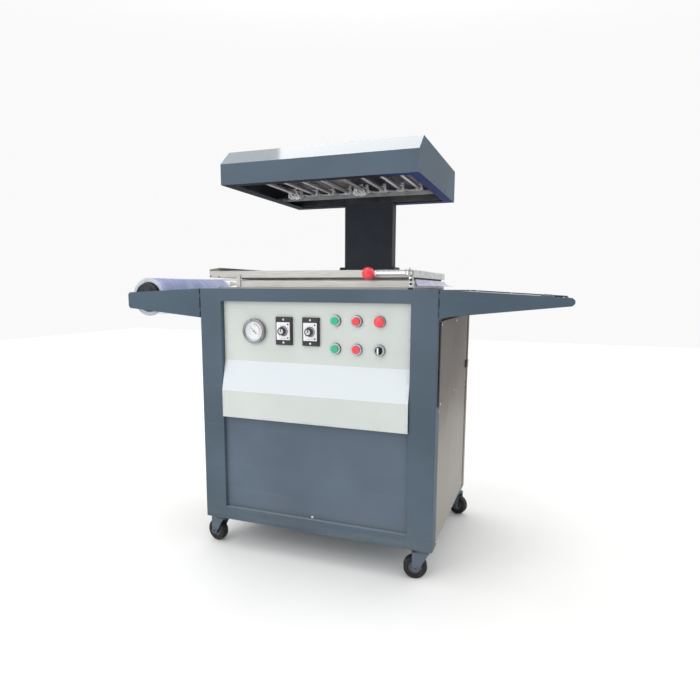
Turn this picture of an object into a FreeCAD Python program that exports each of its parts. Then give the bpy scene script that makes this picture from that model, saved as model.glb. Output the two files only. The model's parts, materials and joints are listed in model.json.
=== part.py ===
import FreeCAD, Part
import math
import os

# Skin packaging machine: a cabinet on casters with a vacuum table on top, a
# film clamp that rides up and down a rear column, and a heater hood over it.
# Millimetres, +Z up, the operator stands at -Y and the film runs from -X to +X.
# While it is built, X = 0 and Y = 0 are the middle of the cabinet and Z = 0 is
# the floor. move_to_origin then puts the middle of the whole machine's box there.

V = FreeCAD.Vector
X_AXIS = V(1, 0, 0)
Y_AXIS = V(0, 1, 0)
Z_AXIS = V(0, 0, 1)
OUTWARD = V(0, -1, 0)
SIDES = (-1, 1)
SHARP = 2

# Clearances, and how far a cut or a fused piece runs past a face
seat_gap = 0.3
shaft_gap = 0.1
panel_gap = 1.5
over = 1

# Casters
caster_height = 92
wheel_radius = 32.5
wheel_width = 24
wheel_edge = 5
hub_radius = 19
hub_dish = 3
hub_boss_radius = 10
axle_radius = 5
axle_head_radius = 8
axle_head = 3
caster_trail = 20
caster_inset_x = 32
caster_inset_y = 37
caster_plate_length = 62
caster_plate_width = 54
caster_plate_thick = 4
swivel_radius = 21
swivel_taper = 4
swivel_height = 9
crown_thick = 5
fork_side_gap = 3
fork_thick = 3
fork_foot_radius = 10
caster_turns = {
    "front_left": 168,
    "front_right": 195,
    "rear_left": 205,
    "rear_right": -18,
}

# Cabinet
cabinet_width = 700
cabinet_depth = 554
cabinet_height = 691
post_width = 70
post_depth = 48
top_rail = 35.5
bottom_rail = 38
rear_post_width = 42
rear_post_depth = 24
rear_rail = 38
frame_corner = 3
sheet = 3
side_recess = 4
flange = 22
deck_thick = 4
rear_panel_recess = 6
louvre_count = 9
louvre_length = 220
louvre_height = 8
louvre_pitch = 18
louvre_depth = 6
louvre_top_drop = 110

# Control panel and the panel under it
panel_recess = 14.5
panel_proud = 6
panel_bend_drop = 170.5
panel_slope_drop = 87.5
panel_lip_drop = 78.5
lower_panel_recess = 11

# Cover on the right side
cover_proud = 5
cover_front_gap = 19
cover_rear_gap = 80
cover_top_drop = 78
cover_height = 224
cover_edge = 1.5
cover_rim_inset = 14
latch_width = 30
latch_height = 24
latch_proud = 6
latch_rise = 48
latch_overhang = 9

# Arms for the film roll and for the outfeed table
left_arm_length = 260
left_arm_root = 84
left_arm_tip_drop = 13
left_arm_tip = 48
right_arm_length = 314
right_arm_root = 69
right_arm_tip_drop = 17
right_arm_tip = 19
arm_flange = 14
arm_joint_gap = 2.5
arm_spacer_radius = 7
arm_spacer_shares = (0.25, 0.75)
tip_radius = 6
cross_rod_radius = 6
cross_rod_inset = 16
outfeed_gap = 46
outfeed_lip = 10

# Film roll
film_thick = 1
film_margin = 15
roll_radius = 58
roll_core_radius = 38
roll_tip_inset = 53
roll_drop = 27
roll_flange_radius = 42
roll_flange_thick = 6
roll_plug_length = 22
roll_plug_gap = 0.2
roll_flange_space = 4
shaft_radius = 8
shaft_boss_radius = 13

# Film clamp, placed from the cabinet's sides, front and rear
clamp_left_inset = 25
clamp_right_inset = 68
clamp_front_inset = 15
clamp_rear_inset = 119
clamp_bar = 30
clamp_entry = 92
lower_bar_base = 5
lower_bar_height = 18
gasket_height = 2.5
gasket_width = 12
upper_bar_gap = 31
upper_bar_height = 19
bar_corner = 2
guide_height = 9
guide_width = 16
tail_reach = 34
tail_drop = 17
pad_radius = 9

# Clamp hinge, latches and lever
hinge_offset = 13
hinge_radius = 7
hinge_pin_radius = 4
hinge_length = 34
hinge_spread = 165
hinge_ear = 10
latch_plate_width = 12
latch_plate_thick = 4
lever_pivot_rise = 41
lever_radius = 4.5
lever_length = 86
lever_offset = 18
lever_boss_radius = 9
lever_boss_height = 8
lever_pin_radius = 4
knob_radius = 16
knob_neck_radius = 7
knob_neck = 5

# Column and the lift carriage on it
column_half = 87
column_depth = 48
column_wall = 3
column_foot_margin = 24
column_foot_lip = 8
column_foot_thick = 8
slide_gap = 0.5
collar_thick = 12
collar_base = 24
collar_height = 52
carriage_arm_thick = 12
carriage_arm_clear = 5

# Vacuum table
platen_gap = 5
platen_height = 20
platen_groove_width = 3
platen_groove_depth = 2
platen_groove_pitch = 40
platen_margin = 16
platen_edge = 3

# Heater hood
hood_width = 573
hood_front_inset = 28
hood_rear_inset = 11
hood_rise = 290
hood_front_height = 57
hood_height = 99
hood_chamfer = 47
hood_sheet = 2.5
hood_lip = 30
tray_rise = 47
tray_thick = 1.5
heater_count = 8
heater_pitch = 59
heater_radius = 6
heater_cap_radius = 8
heater_cap_length = 22
heater_rise = 24
front_rail_inset = 38
rear_rail_space = 128.5
rail_thick = 2.5
rail_flange = 14
clip_width = 20
clip_depth = 8
clip_floor = 4
clip_cover = 5

# Controls: places across the panel from its left edge and down from its top
gauge_across = 103.5
gauge_down = 83.5
gauge_radius = 35
gauge_depth = 12
gauge_bezel = 4
gauge_round = 2
gauge_dish = 5
timer_across = (197, 278.5)
timer_down = 80.5
timer_width = 50
timer_height = 78
timer_depth = 9
timer_edge = 3
dial_radius = 12.5
dial_skirt = 4
dial_body_radius = 10.5
dial_height = 14
dial_hub_radius = 14
dial_hub_height = 2
dial_pointer = 2.5
dial_pointer_proud = 1
dial_pointer_inset = 1
button_across = (350, 411, 474.5)
button_down = (48.5, 124)
bezel_radius = 15
bezel_height = 9
bezel_bore = 11
bezel_floor = 3
bezel_round = 1.5
cap_gap = 0.4
cap_proud = 4
cap_travel = 2
cap_round = 1.5
lamp_proud = 9
lamp_round = 5.5
selector_width = 9
selector_height = 10
selector_inset = 1

# Values worked out from the sizes above
half_width = cabinet_width / 2
front = -cabinet_depth / 2
rear = cabinet_depth / 2
inner_half = half_width - side_recess - sheet
cabinet_bottom = caster_height
cabinet_top = caster_height + cabinet_height
opening_half = half_width - post_width
opening_top = cabinet_top - top_rail
opening_bottom = cabinet_bottom + bottom_rail
bay_front = front + post_depth
bay_rear = rear - rear_post_depth
panel_face = front + panel_recess
panel_bend_z = opening_top - panel_bend_drop
panel_foot_z = panel_bend_z - panel_slope_drop
panel_lip_z = panel_foot_z - panel_lip_drop
hood_front = front + hood_front_inset
hood_rear = rear - hood_rear_inset
hood_bottom = cabinet_top + hood_rise
hood_top = hood_bottom + hood_height
column_rear = hood_rear - hood_sheet
column_front = column_rear - column_depth
clamp_left = -half_width + clamp_left_inset
clamp_right = half_width - clamp_right_inset
clamp_front = front + clamp_front_inset
clamp_rear = rear - clamp_rear_inset
lower_left = clamp_left + clamp_entry
film_front = clamp_front + film_margin
film_rear = clamp_rear - film_margin
film_width = film_rear - film_front
gasket_inset = (clamp_bar - gasket_width) / 2
lower_base = cabinet_top + lower_bar_base
lower_top = lower_base + lower_bar_height
film_bottom = lower_top + gasket_height
film_top = film_bottom + film_thick
upper_base = cabinet_top + upper_bar_gap
upper_top = upper_base + upper_bar_height
hinge_y = clamp_rear + hinge_offset
hinge_z = film_bottom + film_thick / 2
roll_x = -half_width - left_arm_length + roll_tip_inset
roll_z = cabinet_top - roll_drop
heater_z = hood_bottom + heater_rise
rail_top = heater_z - heater_radius - clip_floor
cap_radius = bezel_bore - cap_gap


def box(x0, x1, y0, y1, z0, z1):
    """A block between two corners."""
    return Part.makeBox(x1 - x0, y1 - y0, z1 - z0, V(x0, y0, z0))


def rod(start, direction, radius, length):
    """A round bar from a point along a direction."""
    return Part.makeCylinder(radius, length, start, direction)


def through_bore(start, direction, radius, length):
    """A cutting bar that runs past both ends of a hole."""
    unit = V(direction).normalize()
    return rod(start - unit * over, unit, radius, length + 2 * over)


def extrude(points, direction):
    """A straight-sided outline pushed along a direction."""
    wire = Part.makePolygon(points + [points[0]])
    return Part.Face(wire).extrude(direction)


def edges_along(shape, direction):
    """The straight edges of a shape that run along a direction."""
    found = []
    for edge in shape.Edges:
        if isinstance(edge.Curve, Part.Line):
            if abs(abs(edge.Curve.Direction.dot(direction)) - 1) < 1e-6:
                found.append(edge)
    return found


def rounded(shape, radius, direction):
    """The shape with every edge along one direction rounded."""
    return shape.makeFillet(radius, edges_along(shape, direction))


def rounded_rim(shape, radius, y):
    """The shape with the edges in front of a depth rounded."""
    return shape.makeFillet(radius, [edge for edge in shape.Edges if edge.BoundBox.YMax < y])


def fused(pieces):
    """Several overlapping or touching solids as one."""
    return pieces[0].multiFuse(pieces[1:]).removeSplitter()


def turned(shape, angle, axis):
    """A copy of the shape turned about an axis through the origin."""
    copy = shape.copy()
    copy.rotate(V(0, 0, 0), axis, angle)
    return copy


def moved(shape, offset):
    """A copy of the shape moved by an offset."""
    copy = shape.copy()
    copy.translate(offset)
    return copy


def mirrored_y(shape):
    """The shape mirrored to the other end of the cabinet's depth."""
    return shape.mirror(V(0, 0, 0), Y_AXIS)


def mirrored_x(shape):
    """The shape mirrored to the other side of the cabinet."""
    return shape.mirror(V(0, 0, 0), X_AXIS)


# Cabinet

def welded_frame(post, low_rail, high_rail, y0, y1):
    """Two posts and two rails round an opening, with the outer corners rounded."""
    body = box(-half_width, half_width, y0, y1, cabinet_bottom, cabinet_top)
    body = rounded(body, frame_corner, Z_AXIS)
    hole = box(-half_width + post, half_width - post, y0 - over, y1 + over,
               cabinet_bottom + low_rail, cabinet_top - high_rail)
    return body.cut(hole)


def front_frame():
    """Posts and rails of the cabinet's front."""
    return welded_frame(post_width, bottom_rail, top_rail, front, bay_front)


def rear_frame():
    """Posts and rails of the cabinet's back."""
    return welded_frame(rear_post_width, rear_rail, rear_rail, bay_rear, rear)


def side_panel():
    """Right side of the cabinet: a sheet with its top and bottom folded inwards."""
    outer = half_width - side_recess
    fold = outer - flange
    fold_top = cabinet_top - deck_thick
    fold_bottom = cabinet_bottom + deck_thick
    skin = box(inner_half, outer, bay_front, bay_rear, cabinet_bottom, cabinet_top)
    upper = box(fold, outer, bay_front, bay_rear, fold_top - sheet, fold_top)
    lower = box(fold, outer, bay_front, bay_rear, fold_bottom, fold_bottom + sheet)
    return fused([skin, upper, lower])


def louvre(z):
    """One pressed louvre with closed ends and its mouth at the bottom."""
    face = rear - rear_panel_recess
    low = z - louvre_height
    half = louvre_length / 2
    outer = extrude([V(-half, face - sheet, z), V(-half, face, z),
                     V(-half, face + louvre_depth, low), V(-half, face - sheet, low)],
                    V(louvre_length, 0, 0))
    inner = extrude([V(-half + sheet, face - sheet - over, z - sheet),
                     V(-half + sheet, face, z - sheet),
                     V(-half + sheet, face + louvre_depth - sheet, low - over),
                     V(-half + sheet, face - sheet - over, low - over)],
                    V(louvre_length - 2 * sheet, 0, 0))
    return outer, inner


def rear_panel():
    """Back of the cabinet between the rear posts, with a bank of louvres."""
    half = half_width - rear_post_width
    face = rear - rear_panel_recess
    plate = box(-half, half, face - sheet, face, cabinet_bottom + rear_rail,
                cabinet_top - rear_rail)
    top = cabinet_top - louvre_top_drop
    pairs = [louvre(top - row * louvre_pitch) for row in range(louvre_count)]
    body = fused([plate] + [outer for outer, inner in pairs])
    for outer, inner in pairs:
        body = body.cut(inner)
    return body


def top_deck():
    """Top plate of the cabinet with the four pads that the clamp comes down on."""
    pieces = [box(-inner_half, inner_half, bay_front, bay_rear,
                  cabinet_top - deck_thick, cabinet_top)]
    for x in (lower_left + clamp_bar / 2, clamp_right - clamp_bar / 2):
        for y in (bay_front + pad_radius + over, clamp_rear - clamp_bar / 2):
            base = V(x, y, cabinet_top - over)
            pieces.append(rod(base, Z_AXIS, pad_radius, over + lower_bar_base - seat_gap))
    return fused(pieces)


def floor_pan():
    """Bottom plate between the front and rear frames."""
    return box(-inner_half, inner_half, bay_front, bay_rear,
               cabinet_bottom, cabinet_bottom + deck_thick)


def control_panel():
    """One bent sheet: a flat top field, a slope that comes forward and a lip."""
    lip_y = front - panel_proud
    x = -opening_half + panel_gap
    path = [V(x, panel_face + flange, opening_top),
            V(x, panel_face, opening_top),
            V(x, panel_face, panel_bend_z),
            V(x, lip_y, panel_foot_z),
            V(x, lip_y, panel_lip_z),
            V(x, front + lower_panel_recess, panel_lip_z)]
    profile = Part.makePolygon(path).makeOffset2D(-sheet, SHARP, True, True, False)
    return profile.Faces[0].extrude(V(2 * (opening_half - panel_gap), 0, 0))


def lower_front_panel():
    """Flat panel under the control panel, set back in the frame."""
    y0 = front + lower_panel_recess
    return box(-opening_half, opening_half, y0, y0 + sheet, opening_bottom, panel_lip_z + flange)


def side_cover():
    """Raised cover sheet on the right side, on an inset rim, with its turn latch."""
    x1 = half_width + cover_proud
    x0 = half_width - side_recess
    y0 = front + cover_front_gap
    y1 = rear - cover_rear_gap
    z1 = cabinet_top - cover_top_drop
    z0 = z1 - cover_height
    plate = box(x1 - sheet, x1, y0, y1, z0, z1)
    outer_edges = [edge for edge in plate.Edges if edge.BoundBox.XMin > x1 - over]
    plate = plate.makeFillet(cover_edge, outer_edges)
    gap = cover_rim_inset
    rim = box(x0, x1 - sheet, y0 + gap, y1 - gap, z0 + gap, z1 - gap)
    gap = cover_rim_inset + sheet
    rim = rim.cut(box(x0 - over, x1, y0 + gap, y1 - gap, z0 + gap, z1 - gap))
    rim = rim.cut(box(x0 - over, half_width, y0, bay_front, z0, z1))
    rim = rim.cut(box(x0 - over, half_width, bay_rear, rear, z0, z1))
    latch = box(x1 - over, x1 + latch_proud, y1 + latch_overhang - latch_width,
                y1 + latch_overhang, z0 + latch_rise, z0 + latch_rise + latch_height)
    return fused([plate, rim, rounded(latch, cover_edge, X_AXIS)])


# Arms

def arm_outline(length, root, drop, tip):
    """Side view of an arm: deep at the cabinet, shallow at a rounded tip."""
    x0 = half_width + arm_joint_gap
    x1 = half_width + length
    z = cabinet_top
    return [V(x0, front, z - root), V(x1 - tip_radius, front, z - drop - tip),
            V(x1, front, z - drop - tip + tip_radius), V(x1, front, z - drop - tip_radius),
            V(x1 - tip_radius, front, z - drop), V(x0, front, z)]


def arm(length, root, drop, tip):
    """One folded arm on the front side, with its spacers against the cabinet."""
    whole = extrude(arm_outline(length, root, drop, tip), V(0, arm_flange, 0))
    x0 = half_width + arm_joint_gap + sheet
    x1 = half_width + length - sheet - tip_radius
    y0 = front + sheet
    inside = [V(x0, y0, cabinet_top - root + sheet), V(x1, y0, cabinet_top - drop - tip + sheet),
              V(x1, y0, cabinet_top - drop - sheet), V(x0, y0, cabinet_top - sheet)]
    pieces = [whole.cut(extrude(inside, V(0, arm_flange, 0)))]
    for share in arm_spacer_shares:
        base = V(half_width, front + arm_flange / 2, cabinet_top - root * share)
        pieces.append(rod(base, X_AXIS, arm_spacer_radius, arm_joint_gap + over))
    return fused(pieces)


def left_arms():
    """The two arms that carry the film roll, with the bosses for its shaft."""
    front_arm = mirrored_x(arm(left_arm_length, left_arm_root, left_arm_tip_drop, left_arm_tip))
    boss = rod(V(roll_x, front + over, roll_z), Y_AXIS, shaft_boss_radius, arm_flange - over)
    front_arm = fused([front_arm, boss])
    bore = rod(V(roll_x, front + sheet, roll_z), Y_AXIS, shaft_radius + shaft_gap, arm_flange)
    front_arm = front_arm.cut(bore)
    return [front_arm, mirrored_y(front_arm)]


def right_arms():
    """The two arms that carry the outfeed table."""
    front_arm = arm(right_arm_length, right_arm_root, right_arm_tip_drop, right_arm_tip)
    return [front_arm, mirrored_y(front_arm)]


def outfeed_table():
    """Sloping sheet between the right arms, folded down at both ends."""
    slope = right_arm_tip_drop / (right_arm_length - arm_joint_gap)
    x0 = half_width + arm_joint_gap + sheet
    x1 = half_width + right_arm_length - outfeed_gap
    y0 = front + arm_flange
    z0 = cabinet_top - slope * (x0 - half_width) - sheet
    z1 = cabinet_top - slope * (x1 - half_width) - sheet
    outline = [V(x0, y0, z0), V(x1, y0, z1), V(x1, y0, z1 - outfeed_lip),
               V(x1 - sheet, y0, z1 - outfeed_lip), V(x1 - sheet, y0, z1 - sheet),
               V(x0 + sheet, y0, z0 - sheet), V(x0 + sheet, y0, z0 - outfeed_lip),
               V(x0, y0, z0 - outfeed_lip)]
    return extrude(outline, V(0, 2 * -y0, 0))


def cross_rod():
    """Round bar that ties the tips of the right arms together."""
    x = half_width + right_arm_length - cross_rod_inset
    z = cabinet_top - right_arm_tip_drop - right_arm_tip / 2
    y0 = front + sheet
    return rod(V(x, y0, z), Y_AXIS, cross_rod_radius, -2 * y0)


# Film roll

def film_wound():
    """The film wound on its core, between the two end flanges."""
    start = V(roll_x, film_front, roll_z)
    body = rod(start, Y_AXIS, roll_radius, film_width)
    return body.cut(through_bore(start, Y_AXIS, roll_core_radius, film_width))


def roll_flanges():
    """Black end plugs that carry the core on the shaft."""
    plugs = []
    for start, away in ((film_front, OUTWARD), (film_rear, Y_AXIS)):
        face = V(roll_x, start, roll_z) + away * roll_flange_space
        disc = rod(face, away, roll_flange_radius, roll_flange_thick)
        length = roll_plug_length + roll_flange_space
        plug = rod(face, -away, roll_core_radius - roll_plug_gap, length)
        bore = through_bore(face - away * length, away, shaft_radius + shaft_gap,
                            length + roll_flange_thick)
        plugs.append(fused([disc, plug]).cut(bore))
    return plugs


def roll_shaft():
    """Steel shaft that rests in the bosses of the left arms."""
    y0 = front + sheet + seat_gap
    return rod(V(roll_x, y0, roll_z), Y_AXIS, shaft_radius, -2 * y0)


def film_web():
    """Film from the top of the roll to the clamp."""
    x1 = clamp_left - seat_gap
    z0 = roll_z + roll_radius + seat_gap
    outline = [V(roll_x, film_front, z0), V(x1, film_front, film_bottom),
               V(x1, film_front, film_top), V(roll_x, film_front, z0 + film_thick)]
    return extrude(outline, V(0, film_width, 0))


# Film clamp

def ring(x0, x1, y0, y1, z0, z1, bar):
    """A rectangular frame of flat bars."""
    outer = rounded(box(x0, x1, y0, y1, z0, z1), bar_corner, Z_AXIS)
    return outer.cut(box(x0 + bar, x1 - bar, y0 + bar, y1 - bar, z0 - over, z1 + over))


def gasket_ring(z0, z1):
    """Rubber strip along the middle of the clamping bars."""
    return ring(lower_left + gasket_inset, clamp_right - gasket_inset,
                clamp_front + gasket_inset, clamp_rear - gasket_inset, z0, z1, gasket_width)


def hinge_centres():
    """Places of the two clamp hinges across the machine."""
    middle = (lower_left + clamp_right) / 2
    return (middle - hinge_spread, middle + hinge_spread)


def lower_frame():
    """Lower half of the film clamp with its hinge ears, pins and latch plates."""
    pieces = [ring(lower_left, clamp_right, clamp_front, clamp_rear, lower_base, lower_top,
                   clamp_bar)]
    for x in hinge_centres():
        for side in SIDES:
            x0 = x + side * (hinge_length + hinge_ear) / 2 - hinge_ear / 2
            pieces.append(rod(V(x0, hinge_y, hinge_z), X_AXIS, hinge_radius, hinge_ear))
            pieces.append(box(x0, x0 + hinge_ear, clamp_rear - over, hinge_y,
                              lower_base, lower_top))
        pin_start = V(x - (hinge_length + hinge_ear) / 2, hinge_y, hinge_z)
        pieces.append(rod(pin_start, X_AXIS, hinge_pin_radius, hinge_length + hinge_ear))
    for x in (lower_left, clamp_right - latch_plate_width):
        pieces.append(box(x, x + latch_plate_width, clamp_front - latch_plate_thick, clamp_front,
                          lower_base, upper_base + upper_bar_height / 3))
    return fused(pieces)


def lower_gasket():
    """Rubber strip on the lower frame that the film lies on."""
    return gasket_ring(lower_top, film_bottom)


def upper_gasket():
    """Rubber strip under the upper frame that presses on the film."""
    return gasket_ring(film_top + seat_gap, upper_base)


def film_sheet():
    """Film held in the clamp, with a tail that droops over the right edge."""
    x0 = clamp_left + seat_gap
    x1 = clamp_right
    x2 = clamp_right + tail_reach
    outline = [V(x0, film_front, film_bottom), V(x1, film_front, film_bottom),
               V(x2, film_front, film_bottom - tail_drop), V(x2, film_front, film_top - tail_drop),
               V(x1, film_front, film_top), V(x0, film_front, film_top)]
    return extrude(outline, V(0, film_width, 0))


def lift_carriage():
    """Collar round the column with two arms that carry the lower frame."""
    half = column_half + slide_gap
    y0 = column_front - slide_gap
    y1 = column_rear + slide_gap
    z0 = cabinet_top + collar_base
    z1 = z0 + collar_height
    collar = box(-half - collar_thick, half + collar_thick, y0 - collar_thick,
                 y1 + collar_thick, z0, z1)
    collar = rounded(collar, frame_corner, Z_AXIS)
    pieces = [collar.cut(box(-half, half, y0, y1, z0 - over, z1 + over))]
    arm_rear = y0 - collar_thick + over
    arm_low = cabinet_top + carriage_arm_clear
    for side in SIDES:
        x = side * (half + collar_thick - carriage_arm_thick / 2) - carriage_arm_thick / 2
        outline = [V(x, clamp_rear, arm_low), V(x, arm_rear, z0), V(x, arm_rear, z1),
                   V(x, clamp_rear, lower_top)]
        pieces.append(extrude(outline, V(carriage_arm_thick, 0, 0)))
    return fused(pieces)


def hinge_knuckle(x):
    """Barrel of the upper frame on the hinge pin, with its web."""
    x0 = x - hinge_length / 2 + seat_gap
    length = hinge_length - 2 * seat_gap
    barrel = rod(V(x0, hinge_y, hinge_z), X_AXIS, hinge_radius, length)
    web = box(x0, x0 + length, clamp_rear - over, hinge_y, upper_base, upper_base + hinge_radius)
    bore = through_bore(V(x0, hinge_y, hinge_z), X_AXIS, hinge_pin_radius + shaft_gap, length)
    return fused([barrel, web]).cut(bore)


def upper_frame():
    """Upper half of the clamp: clamping bars, film entry bar, knuckles, lever ear."""
    pieces = [ring(clamp_left, clamp_right, clamp_front, clamp_rear, upper_base, upper_top,
                   clamp_bar)]
    pieces.append(box(lower_left, lower_left + clamp_bar, clamp_front + over, clamp_rear - over,
                      upper_base, upper_top))
    pieces += [hinge_knuckle(x) for x in hinge_centres()]
    pivot = lever_pivot()
    ear_base = V(pivot.x, pivot.y, upper_top - sheet)
    pieces.append(box(pivot.x - lever_boss_radius, pivot.x + lever_boss_radius,
                      pivot.y, clamp_front + over, ear_base.z, upper_top))
    pieces.append(rod(ear_base, Z_AXIS, lever_boss_radius, sheet))
    pin_foot = pivot.z - lever_boss_height / 2 - sheet
    pieces.append(rod(V(pivot.x, pivot.y, pin_foot), Z_AXIS, lever_pin_radius,
                      upper_top - pin_foot))
    return fused(pieces)


def film_guide():
    """Dark ribbed strip on the film entry bar of the upper frame."""
    x0 = clamp_left + (clamp_bar - guide_width) / 2
    return box(x0, x0 + guide_width, clamp_front + clamp_bar, clamp_rear - clamp_bar,
               upper_top, upper_top + guide_height)


def lever_pivot():
    """Place of the lever's upright pin."""
    return V(clamp_right - lever_boss_radius, clamp_front - lever_offset,
             cabinet_top + lever_pivot_rise)


def clamp_lever():
    """Chrome lever that turns on its upright pin."""
    pivot = lever_pivot()
    base = V(pivot.x, pivot.y, pivot.z - lever_boss_height / 2)
    boss = rod(base, Z_AXIS, lever_boss_radius, lever_boss_height)
    bar = rod(pivot, -X_AXIS, lever_radius, lever_length)
    hole = through_bore(base, Z_AXIS, lever_pin_radius + shaft_gap, lever_boss_height)
    return fused([boss, bar]).cut(hole)


def lever_knob():
    """Red ball with a short neck on the end of the lever, turned about the lever's line."""
    end = lever_pivot() - X_AXIS * lever_length
    centre = end - X_AXIS * (knob_neck + knob_radius)
    neck_rise = Z_AXIS * knob_neck_radius
    meet = centre + X_AXIS * math.sqrt(knob_radius ** 2 - knob_neck_radius ** 2) + neck_rise
    tip = centre - X_AXIS * knob_radius
    edges = [Part.Arc(tip, centre + Z_AXIS * knob_radius, meet).toShape(),
             Part.makeLine(meet, end + neck_rise), Part.makeLine(end + neck_rise, end),
             Part.makeLine(end, tip)]
    return Part.Face(Part.Wire(edges)).revolve(centre, X_AXIS, 360)


# Column and hood

def column():
    """Hollow column with its foot plate on the cabinet and its top in the hood."""
    z0 = cabinet_top
    z1 = hood_top - hood_sheet
    body = box(-column_half, column_half, column_front, column_rear, z0, z1)
    body = rounded(body, frame_corner, Z_AXIS)
    foot = box(-column_half - column_foot_margin, column_half + column_foot_margin,
               column_front - column_foot_lip, column_rear + column_foot_lip,
               z0, z0 + column_foot_thick)
    inside = box(-column_half + column_wall, column_half - column_wall,
                 column_front + column_wall, column_rear - column_wall,
                 z0 + column_foot_thick, z1 - column_wall)
    return fused([body, foot]).cut(inside)


def hood_profile(inset):
    """Side view of the hood, drawn inwards by an inset."""
    chamfer_rise = hood_height - hood_front_height
    slant = math.hypot(hood_chamfer, chamfer_rise)
    lower_drop = inset * (slant - chamfer_rise) / hood_chamfer
    upper_back = inset * (slant - hood_chamfer) / chamfer_rise
    x = -hood_width / 2 + inset
    return [V(x, hood_front + inset, hood_bottom),
            V(x, hood_front + inset, hood_bottom + hood_front_height - lower_drop),
            V(x, hood_front + hood_chamfer + upper_back, hood_top - inset),
            V(x, hood_rear - inset, hood_top - inset),
            V(x, hood_rear - inset, hood_bottom)]


def hood_shell():
    """Sheet hood, open below, with a lip folded in all round its bottom edge."""
    outer = extrude(hood_profile(0), V(hood_width, 0, 0))
    inner = extrude(hood_profile(hood_sheet), V(hood_width - 2 * hood_sheet, 0, 0))
    half = hood_width / 2
    lip = box(-half + over, half - over, hood_front + over, hood_rear - over,
              hood_bottom, hood_bottom + hood_sheet)
    lip = lip.cut(box(-half + hood_lip, half - hood_lip, hood_front + hood_lip,
                      hood_rear - hood_lip, hood_bottom - over, hood_top))
    notch = box(-column_half - panel_gap, column_half + panel_gap, column_front - panel_gap,
                column_rear, hood_bottom - over, hood_top - hood_sheet)
    return fused([outer.cut(inner), lip]).cut(notch)


def heater_tray():
    """Bright reflector sheet over the heaters, on folded legs down to the lip."""
    half = hood_width / 2 - hood_sheet
    y0 = hood_front + hood_sheet
    y1 = column_front - panel_gap
    z0 = hood_bottom + hood_sheet
    z1 = hood_bottom + tray_rise
    block = box(-half, half, y0, y1, z0, z1)
    return block.cut(box(-half + tray_thick, half - tray_thick, y0 + tray_thick, y1 - tray_thick,
                         z0 - over, z1 - tray_thick))


def rail_ys():
    """Front faces of the two heater rails."""
    return (hood_front + front_rail_inset, column_front - rear_rail_space)


def heater_rails():
    """Angle rails that stand on the hood's lip, with their flanges on top."""
    half = hood_width / 2 - hood_sheet - tray_thick
    z0 = hood_bottom + hood_sheet
    rails = []
    for y in rail_ys():
        upright = box(-half, half, y, y + rail_thick, z0, rail_top)
        top = box(-half, half, y, y + rail_flange, rail_top - rail_thick, rail_top)
        rails.append(fused([upright, top]))
    return rails


def heater_xs():
    """Places of the heater rods across the hood."""
    first = -(heater_count - 1) / 2 * heater_pitch
    return [first + index * heater_pitch for index in range(heater_count)]


def clip_front(rail_y):
    """Front face of the ceramic clips on a rail."""
    return rail_y + (rail_flange - clip_depth) / 2


def heater_clips():
    """Ceramic blocks on the rails, each with a heater rod through it."""
    clips = []
    for rail_y in rail_ys():
        y = clip_front(rail_y)
        for x in heater_xs():
            block = box(x - clip_width / 2, x + clip_width / 2, y, y + clip_depth,
                        rail_top, heater_z + heater_radius + clip_cover)
            bore = through_bore(V(x, y, heater_z), Y_AXIS, heater_radius + shaft_gap, clip_depth)
            clips.append(block.cut(bore))
    return clips


def heater_tubes():
    """Round heater rods with a ceramic cap at each end."""
    front_rail, rear_rail_y = rail_ys()
    front_face = clip_front(front_rail) - seat_gap
    rear_face = clip_front(rear_rail_y) + clip_depth + seat_gap
    y0 = front_face - heater_cap_length
    length = rear_face + heater_cap_length - y0
    tubes = []
    for x in heater_xs():
        tube = rod(V(x, y0, heater_z), Y_AXIS, heater_radius, length)
        front_cap = rod(V(x, front_face, heater_z), OUTWARD, heater_cap_radius, heater_cap_length)
        rear_cap = rod(V(x, rear_face, heater_z), Y_AXIS, heater_cap_radius, heater_cap_length)
        tubes.append(fused([tube, front_cap, rear_cap]))
    return tubes


# Vacuum table

def vacuum_platen():
    """Raised table plate with crossing air grooves."""
    inset = clamp_bar + platen_gap
    x0 = lower_left + inset
    x1 = clamp_right - inset
    y0 = clamp_front + inset
    y1 = clamp_rear - inset
    z1 = cabinet_top + platen_height
    plate = box(x0, x1, y0, y1, cabinet_top, z1)
    top_edges = [edge for edge in plate.Edges if edge.BoundBox.ZMin > z1 - over]
    plate = plate.makeChamfer(platen_edge, top_edges)
    across = int((x1 - x0 - 2 * platen_margin) / platen_groove_pitch)
    deep = int((y1 - y0 - 2 * platen_margin) / platen_groove_pitch)
    half_x = across * platen_groove_pitch / 2
    half_y = deep * platen_groove_pitch / 2
    mid_x = (x0 + x1) / 2
    mid_y = (y0 + y1) / 2
    half = platen_groove_width / 2
    floor = z1 - platen_groove_depth
    grooves = []
    for index in range(across + 1):
        x = mid_x - half_x + index * platen_groove_pitch
        grooves.append(box(x - half, x + half, mid_y - half_y, mid_y + half_y, floor, z1 + over))
    for index in range(deep + 1):
        y = mid_y - half_y + index * platen_groove_pitch
        grooves.append(box(mid_x - half_x, mid_x + half_x, y - half, y + half, floor, z1 + over))
    return plate.cut(fused(grooves))


# Controls

def on_panel(across, down, proud):
    """A point in front of the control panel's flat field."""
    return V(-opening_half + across, panel_face - proud, opening_top - down)


def gauge():
    """Round vacuum gauge with a raised bezel and a dished dial."""
    face = on_panel(gauge_across, gauge_down, 0)
    body = rod(face, OUTWARD, gauge_radius, gauge_depth)
    body = rounded_rim(body, gauge_round, face.y - over)
    dish = rod(on_panel(gauge_across, gauge_down, gauge_depth + over), Y_AXIS,
               gauge_radius - gauge_bezel, gauge_dish + over)
    return body.cut(dish)


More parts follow.
